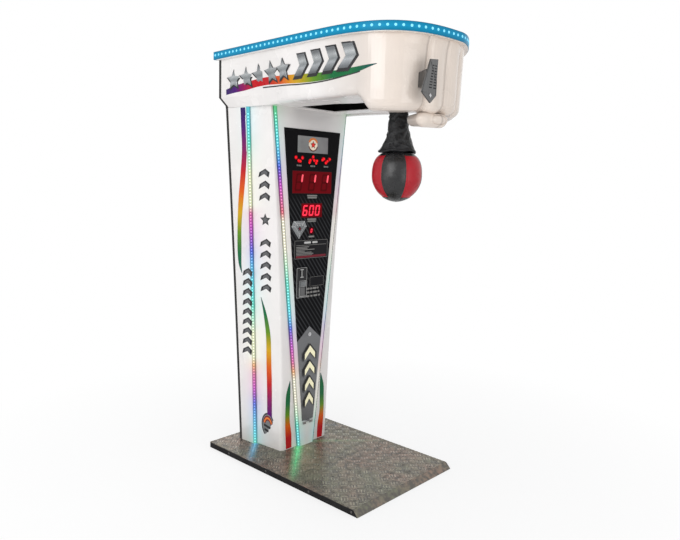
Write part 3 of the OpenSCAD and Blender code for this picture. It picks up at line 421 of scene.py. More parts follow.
class Shade:
    """The nodes of a material, a group or the world, with short ways to add to them."""

    def __init__(self, tree, shader=None):
        self.tree, self.shader = tree, shader

    def fill(self, made, values):
        """Links sockets to a node's inputs and sets plain values on them."""
        for key, value in values.items():
            if isinstance(value, bpy.types.NodeSocket):
                self.tree.links.new(value, made.inputs[key])
            else:
                made.inputs[key].default_value = value
        return made

    def node(self, kind, inputs=None, **settings):
        made = self.tree.nodes.new("ShaderNode" + kind)
        for key, value in settings.items():
            setattr(made, key, value)
        return self.fill(made, inputs or {})

    def use(self, name, **inputs):
        return self.node("Group", inputs, node_tree=bpy.data.node_groups[name]).outputs

    @cached_property
    def at(self):
        return self.node("TexCoord").outputs["Object"]

    @cached_property
    def xyz(self):
        return self.node("SeparateXYZ", {0: self.at}).outputs

    def maths(self, operation, a, b=0.0, clamp=False):
        return self.node("Math", {0: a, 1: b}, operation=operation, use_clamp=clamp).outputs[0]

    def add(self, a, b):
        return self.maths("ADD", a, b)

    def less(self, a, b, clamp=False):
        return self.maths("SUBTRACT", a, b, clamp)

    def over(self, a, b):
        return self.maths("DIVIDE", a, b)

    def power(self, a, b):
        return self.maths("POWER", a, b)

    def size(self, a):
        return self.maths("ABSOLUTE", a)

    def times(self, product, *factors):
        for factor in factors:
            product = self.maths("MULTIPLY", product, factor)
        return product

    def fit(self, value, low_in, high_in, low_out=0.0, high_out=1.0):
        return self.node("MapRange", {0: value, 1: low_in, 2: high_in, 3: low_out, 4: high_out}).outputs[0]

    def mix(self, factor, a, b, kind="MIX"):
        a, b = (c if isinstance(c, bpy.types.NodeSocket) else (*c[:3], 1.0) for c in (a, b))
        return self.node("Mix", {0: factor, 6: a, 7: b}, data_type="RGBA", blend_type=kind).outputs[2]

    def ramp(self, factor, stops):
        made = self.node("ValToRGB", {0: factor})
        line = made.color_ramp
        line.elements[0].position, line.elements[1].position = 0.0, 1.0
        while len(line.elements) < len(stops):
            line.elements.new(0.5)
        for element, (place, colour) in zip(line.elements, sorted(stops)):
            element.position = place
            element.color = (*colour, 1.0)
        return made.outputs[0]

    def noise(self, scale, detail=2.0, where=None):
        return self.node("TexNoise", {"Vector": where or self.at, "Scale": scale,
                                      "Detail": detail}).outputs["Fac"]

    def feed(self, **sockets):
        self.fill(self.shader, {key.replace("_", " "): value for key, value in sockets.items()})

    def bump(self, height, strength, distance=0.001):
        self.feed(Normal=self.node("Bump", {"Strength": strength, "Distance": distance,
                                            "Height": height}).outputs[0])

    def put(self, *values):
        """Links a group's results to its outputs."""
        for end, value in zip(self.ends, values):
            self.tree.links.new(value, end)


def group(name, inputs, *outputs):
    """An empty node group; Colour is a colour, and every other output a value."""
    tree = bpy.data.node_groups.new(name, "ShaderNodeTree")
    for label, value in inputs.items():
        kind = "NodeSocketVector" if isinstance(value, tuple) else "NodeSocketFloat"
        tree.interface.new_socket(label, in_out="INPUT", socket_type=kind).default_value = value
    for label in outputs:
        kind = "NodeSocketColor" if label == "Colour" else "NodeSocketFloat"
        tree.interface.new_socket(label, in_out="OUTPUT", socket_type=kind)
    made = Shade(tree)
    made.given = tree.nodes.new("NodeGroupInput").outputs
    made.ends = tree.nodes.new("NodeGroupOutput").inputs
    return made


def foot_of(name):
    """Where a light strip meets the deck, on the right half."""
    points = [v.co for v in frame["nodes"][name].data.vertices if v.co.z < low(name).z + 0.01]
    mean = sum(points, Vector()) / len(points)
    return abs(mean.x), mean.y


SIDE_FOOT, FRONT_FOOT = foot_of("side_light_left"), foot_of("front_light_left")
ROW_BOTTOM, ROW_TOP = low("side_light_left").z, high("side_light_left").z
BLACK, WHITE = (0, 0, 0), (1, 1, 1)
CYAN, AQUA, GREEN, LEMON = (0.09, 0.78, 0.90), (0.10, 0.80, 0.62), (0.12, 0.80, 0.25), (0.90, 0.94, 0.60)
ORANGE, ROSE, PINK = (0.85, 0.36, 0.10), (0.75, 0.08, 0.14), (0.70, 0.08, 0.32)
MAGENTA, PURPLE, BLUE, SKY = (0.62, 0.02, 0.52), (0.25, 0.01, 0.54), (0.01, 0.06, 0.72), (0.05, 0.42, 0.85)
CREAM, MINT = (0.98, 0.93, 0.72), (0.60, 0.95, 0.66)
# The height in metres at which each colour of a lit strip is at its purest
ROW_COLOURS = {
    "side_row_colours": [
        (0.033, AQUA), (0.085, CYAN), (0.200, SKY), (0.280, BLUE), (0.320, PURPLE), (0.380, MAGENTA),
        (0.455, PINK), (0.510, ORANGE), (0.560, LEMON), (0.700, LEMON), (0.760, MINT), (0.860, AQUA),
        (0.985, CYAN), (1.100, SKY), (1.170, BLUE), (1.235, PURPLE), (1.320, MAGENTA), (1.385, PINK),
        (1.430, LEMON), (1.600, LEMON), (1.680, MINT), (1.760, AQUA), (1.860, CYAN), (1.953, CYAN)],
    "front_row_colours": [
        (0.033, AQUA), (0.090, CYAN), (0.170, AQUA), (0.225, MINT), (0.310, CREAM), (0.440, CREAM),
        (0.490, ORANGE), (0.545, PINK), (0.620, MAGENTA), (0.700, PURPLE), (0.745, BLUE), (0.785, SKY),
        (0.850, CYAN), (1.000, AQUA), (1.110, MINT), (1.200, CREAM), (1.345, CREAM), (1.395, ROSE),
        (1.455, PINK), (1.530, MAGENTA), (1.590, PURPLE), (1.640, BLUE), (1.695, SKY), (1.770, CYAN),
        (1.860, AQUA), (1.953, GREEN)],
}
POOL_AHEAD, POOL_ASIDE = 0.678, 0.735   # the way a strip's light falls across the deck


def build_groups():
    """The effects that several finishes share."""
    s = group("surface_grain", {"Scale": 400.0, "Contrast": 1.0}, "Height", "Mask")
    s.put(s.noise(s.given[0], 3.0), s.power(s.noise(7.0, 4.0), s.given[1]))

    s = group("handling_marks", {"Low": 0.1, "High": 0.3, "Scale": 9.0}, "Roughness")
    s.put(s.fit(s.noise(s.given[2], 5.0), 0.3, 0.7, s.given[0], s.given[1]))

    s = group("floor_dust", {"Top": 0.2, "Amount": 0.5}, "Mask")
    near = s.less(1.0, s.over(s.xyz[2], s.given[0]), clamp=True)
    s.put(s.times(near, s.noise(14.0, 5.0), s.given[1]))

    s = group("brushed_lines", {"Stretch": (6.0, 6.0, 600.0)}, "Height", "Mask")
    where = s.node("VectorMath", {0: s.at, 1: s.given[0]}, operation="MULTIPLY").outputs[0]
    lines = s.noise(1.0, 3.0, where)
    s.put(lines, lines)

    s = group("leather_pebble", {"Scale": 520.0}, "Height", "Crack")
    cells = s.node("TexVoronoi", {"Vector": s.at, "Scale": s.given[0]}, feature="DISTANCE_TO_EDGE")
    pebble = s.fit(cells.outputs["Distance"], 0.0, 0.12)
    s.put(s.add(pebble, s.times(s.noise(60.0, 4.0), 0.6)), pebble)

    for name, stops in ROW_COLOURS.items():
        s = group(name, {}, "Colour")
        tall = ROW_TOP - ROW_BOTTOM
        s.put(s.ramp(s.fit(s.xyz[2], ROW_BOTTOM, ROW_TOP), [((z - ROW_BOTTOM) / tall, c) for z, c in stops]))

    s = group("row_glow", {"Offset": 0.0, "Reach": 0.03}, "Mask")
    s.put(s.power(2.718, s.times(s.over(s.size(s.given[0]), s.given[1]), -1.0)))

    # Painted light: the strips' coloured light and its reflection, painted on the deck as glowing streaks that
    # fade away from each strip's foot and stay faint on the right half
    s = group("strip_pools", {}, "Colour")
    speckle = s.fit(s.noise(60.0, 3.0), 0.3, 0.7, 0.5, 1.0)
    photo_side = s.fit(s.xyz[0], 0.02, -0.02, 0.15, 1.0)
    total = BLACK
    for (x, y), reach, wide, tint in (((FRONT_FOOT[0] - 0.075, FRONT_FOOT[1]), 0.55, 0.15, (0.13, 0.14, 0.055)),
                                      (SIDE_FOOT, 0.29, 0.034, (0.12, 0.52, 0.90)),
                                      (FRONT_FOOT, 0.47, 0.042, (0.10, 0.90, 0.32))):
        out_x, out_y = s.less(s.size(s.xyz[0]), x), s.less(s.xyz[1], y)
        along = s.less(s.times(out_x, POOL_ASIDE), s.times(out_y, POOL_AHEAD))
        across = s.add(s.times(out_x, POOL_AHEAD), s.times(out_y, POOL_ASIDE))
        fade = s.times(s.fit(along, 0.0, reach, 1.0, 0.0), s.fit(along, -0.02, 0.0))
        thin = s.fit(s.size(across), 0.0, wide, 1.0, 0.0)
        painted_pool = s.times(s.power(fade, 0.8), s.power(thin, 1.6), speckle, photo_side)
        total = s.mix(painted_pool, total, tint)
    s.put(total)


FINISHES = {}


def dim(colour, share):
    return [c * share for c in colour]


def finish(name, colour, roughness, metallic=0.0, **sockets):
    """A new material whose constants sit on the shader's own sockets."""
    material = FINISHES[name] = bpy.data.materials.new(name)
    material.use_nodes = True
    made = Shade(material.node_tree, material.node_tree.nodes["Principled BSDF"])
    made.feed(Base_Color=(*colour, 1.0), Roughness=roughness, Metallic=metallic, **sockets)
    return made


def row_line(name, axis):
    """The straight line that best follows a light strip: position = start + lean times height."""
    points = [v.co for v in frame["nodes"][name].data.vertices]
    mean_z = sum(p.z for p in points) / len(points)
    mean_a = sum(p[axis] for p in points) / len(points)
    lean = (sum((p.z - mean_z) * (p[axis] - mean_a) for p in points)
            / sum((p.z - mean_z) ** 2 for p in points))
    return mean_a - lean * mean_z, lean


def row_gap(s, row, axis):
    """How far a place lies from the middle line of a left strip or of its right twin."""
    start, lean = row_line(row, axis)
    across = s.xyz[axis]
    if axis == 0:
        across, start, lean = s.size(across), abs(start), -lean if start < 0 else lean
    return s.size(s.less(across, s.add(s.times(s.xyz[2], lean), start)))


def gel_coat(name, colour, fist=False):
    """Glossy sprayed gel coat; on the fist, painted shade darkens the grooves and makes the front darker and
    warmer.
    """
    s = finish(name, colour, 0.2, Coat_Weight=0.3 if fist else 0.6, Coat_Roughness=0.06)
    grain = s.use("surface_grain", Scale=55.0)
    tone = s.mix(s.fit(grain[1], 0.35, 0.65), colour, dim(colour, 0.955))
    if fist:
        # Painted shade: the grooves between the fingers darkened towards a brown grey
        turn = s.maths("FRACT", s.over(s.xyz[0], FINGER_W))
        groove = s.fit(s.size(s.less(turn, 0.5)), 0.0, 0.07, 1.0, 0.0)
        inside = s.fit(s.size(s.xyz[0]), 1.62 * FINGER_W, 1.56 * FINGER_W)
        deep = s.times(groove, inside, s.fit(s.xyz[1], -0.46, -0.52), 0.62)
        # Painted shade: the fist darker and warmer from its side towards its front
        tint = s.ramp(s.fit(s.xyz[1], -0.14, -0.64), [
            (0.0, WHITE), (0.50, (0.83, 0.785, 0.745)), (0.78, (0.91, 0.83, 0.755)), (1.0, (0.92, 0.83, 0.745))])
        tone = s.mix(deep, s.mix(1.0, tone, tint, "MULTIPLY"), (0.36, 0.30, 0.26))
    dust = s.use("floor_dust", Top=0.30, Amount=0.35)
    s.feed(Base_Color=s.mix(dust[0], tone, (0.45, 0.40, 0.34)),
           Roughness=s.use("handling_marks", Low=0.16, High=0.30)[0])
    s.bump(grain[0], 0.05, 0.0006)
    return s


def glowing_gel_coat(name, colour, row, axis, colours, half):
    """Gel coat that shows the light of the strip beside it."""
    s = gel_coat(name, colour)
    gap = s.less(row_gap(s, row, axis), half, clamp=True)
    glow = s.times(s.use("row_glow", Offset=gap, Reach=0.038)[0], s.fit(s.xyz[2], 0.2, 1.7, 0.27, 0.15))
    tint = s.use(colours)[0]
    base = s.shader.inputs["Base Color"].links[0].from_socket
    s.feed(Base_Color=s.mix(glow, base, tint), Emission_Color=s.mix(glow, BLACK, tint), Emission_Strength=0.35)


def row_lens(name, colours, row, axis, half):
    """A lit strip: bright along its middle, dark along both edges."""
    unlit = (0.02, 0.03, 0.03)
    s = finish(name, unlit, 0.3, Specular_IOR_Level=0.15, Emission_Strength=0.58)
    tint = s.use(colours)[0]
    core = s.fit(s.over(row_gap(s, row, axis), half), 0.36, 0.58, 1.0, 0.0)
    pale = s.fit(s.xyz[2], 0.3, 1.5, 0.14, 0.05)
    s.feed(Emission_Color=s.mix(core, s.mix(0.90, tint, BLACK), s.mix(pale, tint, WHITE)),
           Base_Color=s.mix(0.9, tint, unlit))


def row_dot(name, colours):
    s = finish(name, (0.9, 0.9, 0.9), 0.3, Emission_Strength=0.75)
    tint = s.use(colours)[0]
    s.feed(Emission_Color=s.mix(0.40, tint, WHITE), Base_Color=tint)
    s.bump(s.use("surface_grain", Scale=900.0)[0], 0.05)


def lit_plastic(name, base, glow, strength=1.0):
    s = finish(name, base, 0.22, Emission_Strength=strength, Specular_IOR_Level=0.03)
    grain = s.use("surface_grain", Scale=350.0)
    s.feed(Emission_Color=s.mix(s.fit(grain[1], 0.3, 0.7), glow, dim(glow, 0.8)))
    s.bump(grain[0], 0.03)


def steel(name, colour, roughness, stretch, metallic=1.0, bump=0.12):
    """Brushed or rolled bare metal; stretch sets the direction of the lines."""
    s = finish(name, colour, roughness, metallic)
    lines = s.use("brushed_lines", Stretch=stretch)
    grain = s.use("surface_grain", Scale=120.0)
    tone = s.mix(s.fit(lines[1], 0.3, 0.7), dim(colour, 0.78), colour)
    s.feed(Base_Color=s.mix(s.fit(grain[1], 0.35, 0.75, 0.0, 0.35), tone, dim(colour, 0.6)),
           Roughness=s.fit(lines[1], 0.2, 0.8, roughness * 0.8, roughness * 1.3))
    s.bump(lines[0], bump, 0.0004)


def paint(name, colour, roughness, grain_scale=260.0, bump=0.12, wear=0.25, worn=(0.30, 0.29, 0.28), dirt=0.5,
          gloss=0.5):
    """Powder coat, moulded plastic or laminate, with fine grain, handling marks and dust low down."""
    s = finish(name, colour, roughness, Specular_IOR_Level=gloss)
    grain = s.use("surface_grain", Scale=grain_scale, Contrast=2.2)
    marks = s.use("handling_marks", Low=roughness * 0.75, High=min(1.0, roughness * 1.35))
    dust = s.use("floor_dust", Top=0.16, Amount=dirt)
    tone = s.mix(s.times(grain[1], wear), colour, worn)
    s.feed(Base_Color=s.mix(dust[0], tone, (0.20, 0.18, 0.16)), Roughness=marks[0])
    s.bump(grain[0], bump, 0.0004)


def tread_steel(colour):
    """Painted tread plate: warm and cool patches, polished by shoes, darker where dirt settles, with the strips'
    light painted on as a glow.
    """
    s = finish("tread_steel", colour, 0.34, 0.55, Emission_Strength=0.75)
    patch, dirt = s.noise(5.0, 5.0), s.noise(42.0, 6.0)
    warm = s.mix(s.fit(patch, 0.38, 0.62), (0.180, 0.182, 0.134), (0.290, 0.200, 0.158))
    s.feed(Base_Color=s.mix(s.fit(dirt, 0.40, 0.62), dim(colour, 0.62), warm),
           Roughness=s.fit(patch, 0.3, 0.7, 0.26, 0.42), Emission_Color=s.use("strip_pools")[0])
    s.bump(s.use("surface_grain", Scale=700.0)[0], 0.25, 0.0005)


def tread_bar(colour):
    """The raised bars are rubbed brighter than the plate between them; the strips' light is painted on as a glow.
    """
    s = finish("tread_bar", colour, 0.28, 0.7, Emission_Strength=0.85)
    top = s.fit(s.xyz[2], DECK_Z + 0.0002, DECK_Z + 0.0015)
    rub = s.times(top, s.fit(s.noise(38.0, 5.0), 0.3, 0.6))
    bright = s.mix(s.fit(s.noise(5.0, 5.0), 0.38, 0.62), (0.355, 0.350, 0.262), (0.430, 0.345, 0.280))
    s.feed(Base_Color=s.mix(rub, dim(colour, 0.36), bright),
           Roughness=s.fit(s.noise(20.0), 0.3, 0.7, 0.2, 0.38), Emission_Color=s.use("strip_pools")[0])
    s.bump(s.use("surface_grain", Scale=800.0)[0], 0.2, 0.0004)


def woven_acrylic(name):
    """Glossy black sheet printed on the back: slanting grey bands of carbon weave below the score."""
    s = finish(name, (0.012, 0.012, 0.013), 0.12, Specular_IOR_Level=0.03)
    slant = s.add(s.times(s.xyz[0], 0.80), s.times(s.xyz[2], 0.62))
    turn = s.maths("FRACT", s.over(slant, 0.0225))
    band = s.fit(s.size(s.less(turn, 0.5)), 0.10, 0.24, 1.0, 0.0)
    fine = s.maths("FRACT", s.over(s.less(s.xyz[0], s.xyz[2]), 0.0036))
    mask = s.times(band, s.fit(s.xyz[2], 1.50, 1.44), s.fit(fine, 0.2, 0.8, 0.6, 1.0),
                   s.fit(s.noise(9.0), 0.3, 0.7, 0.55, 1.0))
    s.feed(Base_Color=s.mix(mask, (0.0065, 0.0065, 0.0075), (0.050, 0.052, 0.056)),
           Roughness=s.use("handling_marks", Low=0.08, High=0.20)[0])
    s.bump(fine, 0.03, 0.0002)


def leather(name, colour, roughness, scale=520.0, bump=0.35, shine=0.32):
    s = finish(name, colour, roughness, Specular_IOR_Level=shine)
    pebble = s.use("leather_pebble", Scale=scale)
    marks = s.use("handling_marks", Low=roughness * 0.75, High=roughness * 1.3, Scale=25.0)
    grain = s.use("surface_grain", Scale=90.0, Contrast=1.6)
    tone = s.mix(pebble[1], dim(colour, 0.62), colour)
    s.feed(Base_Color=s.mix(s.times(grain[1], 0.3), tone, [min(1.0, c * 1.5 + 0.012) for c in colour]),
           Roughness=marks[0])
    s.bump(pebble[0], bump, 0.0005)


def rainbow(name, axis, start, end, colours):
    """A printed film whose colour runs along one axis, with the fine dashes of a roller."""
    s = finish(name, colours[0], 0.34, Specular_IOR_Level=0.2)
    last = len(colours) - 1
    run = s.ramp(s.fit(s.xyz[axis], start, end), [(i / last, c) for i, c in enumerate(colours)])
    grain = s.use("surface_grain", Scale=500.0, Contrast=1.5)
    s.feed(Base_Color=s.mix(s.times(grain[1], 0.25), run, (0.02, 0.02, 0.03)),
           Roughness=s.use("handling_marks", Low=0.22, High=0.36)[0])
    s.bump(grain[0], 0.03)


def printed(name, colour, roughness=0.4, fade=0.85, strength=0.0):
    s = finish(name, colour, roughness, Emission_Strength=strength, Specular_IOR_Level=0.25)
    grain = s.use("surface_grain", Scale=420.0, Contrast=1.4)
    tone = s.mix(s.fit(grain[1], 0.25, 0.7), colour, dim(colour, fade))
    s.feed(Base_Color=tone, Roughness=s.use("handling_marks", Low=roughness * 0.8, High=roughness * 1.3)[0])
    # The glow: backlight where a print lies on the lit window, painted light where it lies on an unlit part
    if strength:
        s.feed(Emission_Color=tone)
    s.bump(grain[0], 0.04)


def chrome_glyph(name):
    """Bright metal film, light at the top of each glyph and dark towards its foot."""
    s = finish(name, (0.4, 0.41, 0.42), 0.24, 0.75)
    sheen = s.ramp(s.fit(s.less(s.xyz[2], s.times(s.xyz[1], -0.036)), 2.066, 2.150), [
        (0.0, (0.16, 0.17, 0.18)), (0.34, (0.46, 0.48, 0.50)), (0.5, (0.30, 0.32, 0.33)),
        (0.72, (0.52, 0.54, 0.55)), (1.0, (0.20, 0.21, 0.22))])
    patches = s.noise(30.0, 3.0)
    s.feed(Base_Color=s.mix(s.fit(patches, 0.3, 0.7, 0.0, 0.35), sheen, (0.10, 0.11, 0.12)),
           Roughness=s.fit(patches, 0.3, 0.7, 0.18, 0.34))
    s.bump(patches, 0.05)


def window_glass(name):
    """The picture window: a grey sheet, lit unevenly from behind, with a painted sheen down its left edge."""
    s = finish(name, (0.05, 0.05, 0.05), 0.2, Emission_Strength=0.8, Specular_IOR_Level=0.15)
    # Brighter down the left edge: painted sheen
    glow = s.ramp(s.fit(s.xyz[0], low("upper_window").x, high("upper_window").x), [
        (0.0, (0.20, 0.21, 0.21)), (0.14, (0.15, 0.15, 0.15)), (0.5, (0.19, 0.20, 0.20)),
        (1.0, (0.15, 0.14, 0.15))])
    patches = s.noise(22.0)
    s.feed(Emission_Color=s.mix(s.fit(patches, 0.3, 0.7, 0.0, 0.3), glow, (0.28, 0.27, 0.26)))
    s.bump(patches, 0.02)


def band_lens(name, colour):
    """Blue acrylic band, deeper along its upper edge."""
    s = finish(name, colour, 0.3, Emission_Strength=0.30, Specular_IOR_Level=0.06)
    run = s.ramp(s.fit(s.xyz[2], low("light_band").z, high("light_band").z), [
        (0.0, dim(colour, 0.8)), (0.5, [min(1, c * 1.25) for c in colour]), (0.88, colour),
        (1.0, dim(colour, 0.55))])
    s.feed(Base_Color=run, Emission_Color=run)
    s.bump(s.use("surface_grain", Scale=200.0)[0], 0.03)


def build_finishes(context):
    colours = context.scene.bm_colours
    white, black, lamp = tuple(colours.white), tuple(colours.black), tuple(colours.lamp)
    gel_coat("moulded_white", white, True)
    glowing_gel_coat("column_white", white, "side_light_left", 1, "side_row_colours", 0.011)
    glowing_gel_coat("front_white", white, "front_light_left", 0, "front_row_colours", 0.009)
    row_lens("side_lens", "side_row_colours", "side_light_left", 1, 0.014)
    row_lens("front_lens", "front_row_colours", "front_light_left", 0, 0.0115)
    row_dot("side_dot", "side_row_colours")
    row_dot("front_dot", "front_row_colours")
    tread_steel(tuple(colours.tread))
    tread_bar(tuple(colours.tread))
    paint("black_steel", black, 0.42, wear=0.07, dirt=0.12, gloss=0.2)
    paint("rail_steel", (0.007, 0.007, 0.008), 0.5, wear=0.03, dirt=0.05, gloss=0.1)
    # Painted shade: the cavity liner is near-black and all but matt, darkening the opening under the head
    paint("liner_plastic", (0.004, 0.004, 0.004), 0.7, 420.0, 0.2, 0.02, gloss=0.02)
    paint("frame_steel", (0.035, 0.035, 0.038), 0.55, worn=(0.12, 0.10, 0.09))
    paint("black_board", (0.011, 0.011, 0.011), 0.42, 180.0, 0.2, 0.12, gloss=0.2)
    paint("black_plastic", (0.010, 0.010, 0.012), 0.4, 420.0, 0.25, 0.06, gloss=0.05)
    paint("soft_rubber", (0.016, 0.016, 0.016), 0.75, 300.0, 0.3, 0.2)
    paint("sensor_plastic", (0.012, 0.10, 0.035), 0.45, 300.0, 0.2, 0.1)
    paint("coil_plastic", (0.20, 0.13, 0.02), 0.5, 300.0, 0.2, 0.2)
    paint("bearing_iron", (0.015, 0.05, 0.20), 0.5, 190.0, 0.5, 0.3)
    woven_acrylic("dark_acrylic")
    window_glass("window_glass")
    lit_plastic("module_case", (0.03, 0.001, 0.002), (0.120, 0.0015, 0.004))
    lit_plastic("red_lens", (0.30, 0.004, 0.006), lamp)
    lit_plastic("lamp_edge", (0.10, 0.002, 0.004), (0.30, 0.001, 0.008))
    lit_plastic("digit_lit", (0.5, 0.01, 0.02), (1.0, 0.045, 0.090))
    lit_plastic("score_lit", (0.5, 0.02, 0.02), (1.0, 0.13, 0.18))
    lit_plastic("digit_dark", (0.03, 0.002, 0.002), (0.060, 0.0005, 0.002))
    lit_plastic("credit_case", (0.02, 0.001, 0.002), (0.035, 0.001, 0.003))
    lit_plastic("band_dot", (0.2, 0.5, 0.6), (0.17, 0.60, 0.80), 0.8)
    band_lens("blue_lens", tuple(colours.band))
    steel("silver_plastic", (0.27, 0.28, 0.285), 0.24, (30.0, 30.0, 30.0), 0.9, 0.05)
    steel("chrome_trim", (0.72, 0.72, 0.73), 0.12, (40.0, 40.0, 40.0), 1.0, 0.03)
    steel("bright_steel", (0.60, 0.60, 0.61), 0.26, (300.0, 8.0, 300.0))
    steel("galvanised", (0.50, 0.52, 0.53), 0.38, (25.0, 25.0, 25.0), 1.0, 0.1)
    steel("brushed_door", (0.235, 0.238, 0.245), 0.40, (9.0, 9.0, 900.0), 0.85, 0.1)
    steel("brushed_dark", (0.185, 0.185, 0.185), 0.30, (500.0, 8.0, 12.0), 0.9, 0.15)
    leather("ball_red", (0.42, 0.006, 0.016), 0.34, 760.0, 0.14)
    leather("ball_black", (0.013, 0.013, 0.014), 0.27, 760.0, 0.14, 0.5)
    leather("sleeve_leather", (0.014, 0.0145, 0.016), 0.36, 600.0, 0.3)
    chrome_glyph("chrome_glyph")
    printed("black_ink", (0.022, 0.022, 0.024), fade=1.6)
    printed("grey_ink", (0.12, 0.12, 0.125))
    printed("grey_legend", (0.23, 0.225, 0.215), 0.5)
    printed("white_legend", (0.55, 0.55, 0.54), 0.5)
    printed("crimson_legend", (0.17, 0.008, 0.02))
    # The cream print on the cash door and the orange arc on the column's roundel glow too: painted light there
    printed("cream_print", (0.93, 0.88, 0.60), fade=0.96, strength=0.12)
    printed("emblem_print", (0.10, 0.02, 0.012), fade=0.7, strength=0.2)
    printed("emblem_red", (0.75, 0.03, 0.02), fade=0.8, strength=0.3)
    printed("emblem_body", (0.70, 0.60, 0.47), fade=0.9, strength=0.36)
    printed("emblem_arc", (0.60, 0.16, 0.03), strength=0.3)
    printed("badge_grey", (0.20, 0.205, 0.21))
    hues = [(0.012, 0.008, 0.11), (0.07, 0.003, 0.16), (0.24, 0.003, 0.12), (0.54, 0.008, 0.014),
            (0.74, 0.11, 0.003), (0.66, 0.38, 0.006), (0.12, 0.28, 0.012), (0.006, 0.15, 0.045),
            (0.006, 0.07, 0.075)]
    rainbow("head_run", 1, 0.60, -0.49, [hues[i] for i in (0, 1, 3, 3, 4, 5, 6, 7, 7, 8)])
    rainbow("upper_run", 2, 1.96, 1.04, hues)
    rainbow("lower_run", 2, 0.21, 0.92, hues[1:])
    rainbow("front_run", 2, 0.033, 0.44, [hues[i] for i in (3, 3, 4, 6, 7, 7, 8)])


NODE_FINISH = {
    "tread_steel": ["tread_plate", "ramp_plate"],
    "black_steel": ["coin_plate", "return_cup", "rear_door"],
    "rail_steel": ["side_rails", "cross_rails"],
    "bright_steel": ["anchor_bolts", "cash_hinge", "pivot_shaft", "sensor_disc", "latch_hook",
                     "latch_plunger", "rear_hinges"],
    "frame_steel": ["column_posts", "head_beams", "cross_beams", "cash_shelf", "punch_arm"],
    "column_white": ["column_side_left", "column_side_right"],
    "front_white": ["raised_front"],
    "moulded_white": ["head_shell", "thumb_moulding", "head_underside", "head_top"],
    "black_board": ["rear_panel"],
    "side_lens": ["side_light_left", "side_light_right"],
    "front_lens": ["front_light_left", "front_light_right"],
    "dark_acrylic": ["display_panel"],
    "window_glass": ["upper_window"],
    "module_case": ["score_display", "record_display"],
    "credit_case": ["credit_display"],
    "lamp_edge": ["score_lamps"],
    "red_lens": ["rocker_switch"],
    "silver_plastic": ["diamond_badge", "reject_button"],
    "black_plastic": ["rules_plate", "coin_unit", "spare_plate", "power_inlet"],
    "liner_plastic": ["cavity_liner"],
    "chrome_trim": ["cash_lock", "rear_lock"],
    "brushed_door": ["cash_door"],
    "galvanised": ["cash_box", "latch_bracket", "control_box"],
    "brushed_dark": ["crest", "return_flap"],
    "bearing_iron": ["pivot_bearings"],
    "soft_rubber": ["rest_bumper"],
    "sensor_plastic": ["sensor_fork"],
    "coil_plastic": ["latch_solenoid"],
    "blue_lens": ["light_band"],
}


# Operators, one for each piece or group of like pieces


class BM_OT_node_finishes(Operator):
    """Gives every CAD node its own finish"""
    bl_idname = "bm.node_finishes"
    bl_label = "Finishes of the CAD nodes"

    def execute(self, context):
        build_groups()
        build_finishes(context)
        for key, nodes in NODE_FINISH.items():
            for name in nodes:
                mesh = frame["nodes"][name].data
                mesh.materials.clear()
                mesh.materials.append(FINISHES[key])
        return {"FINISHED"}


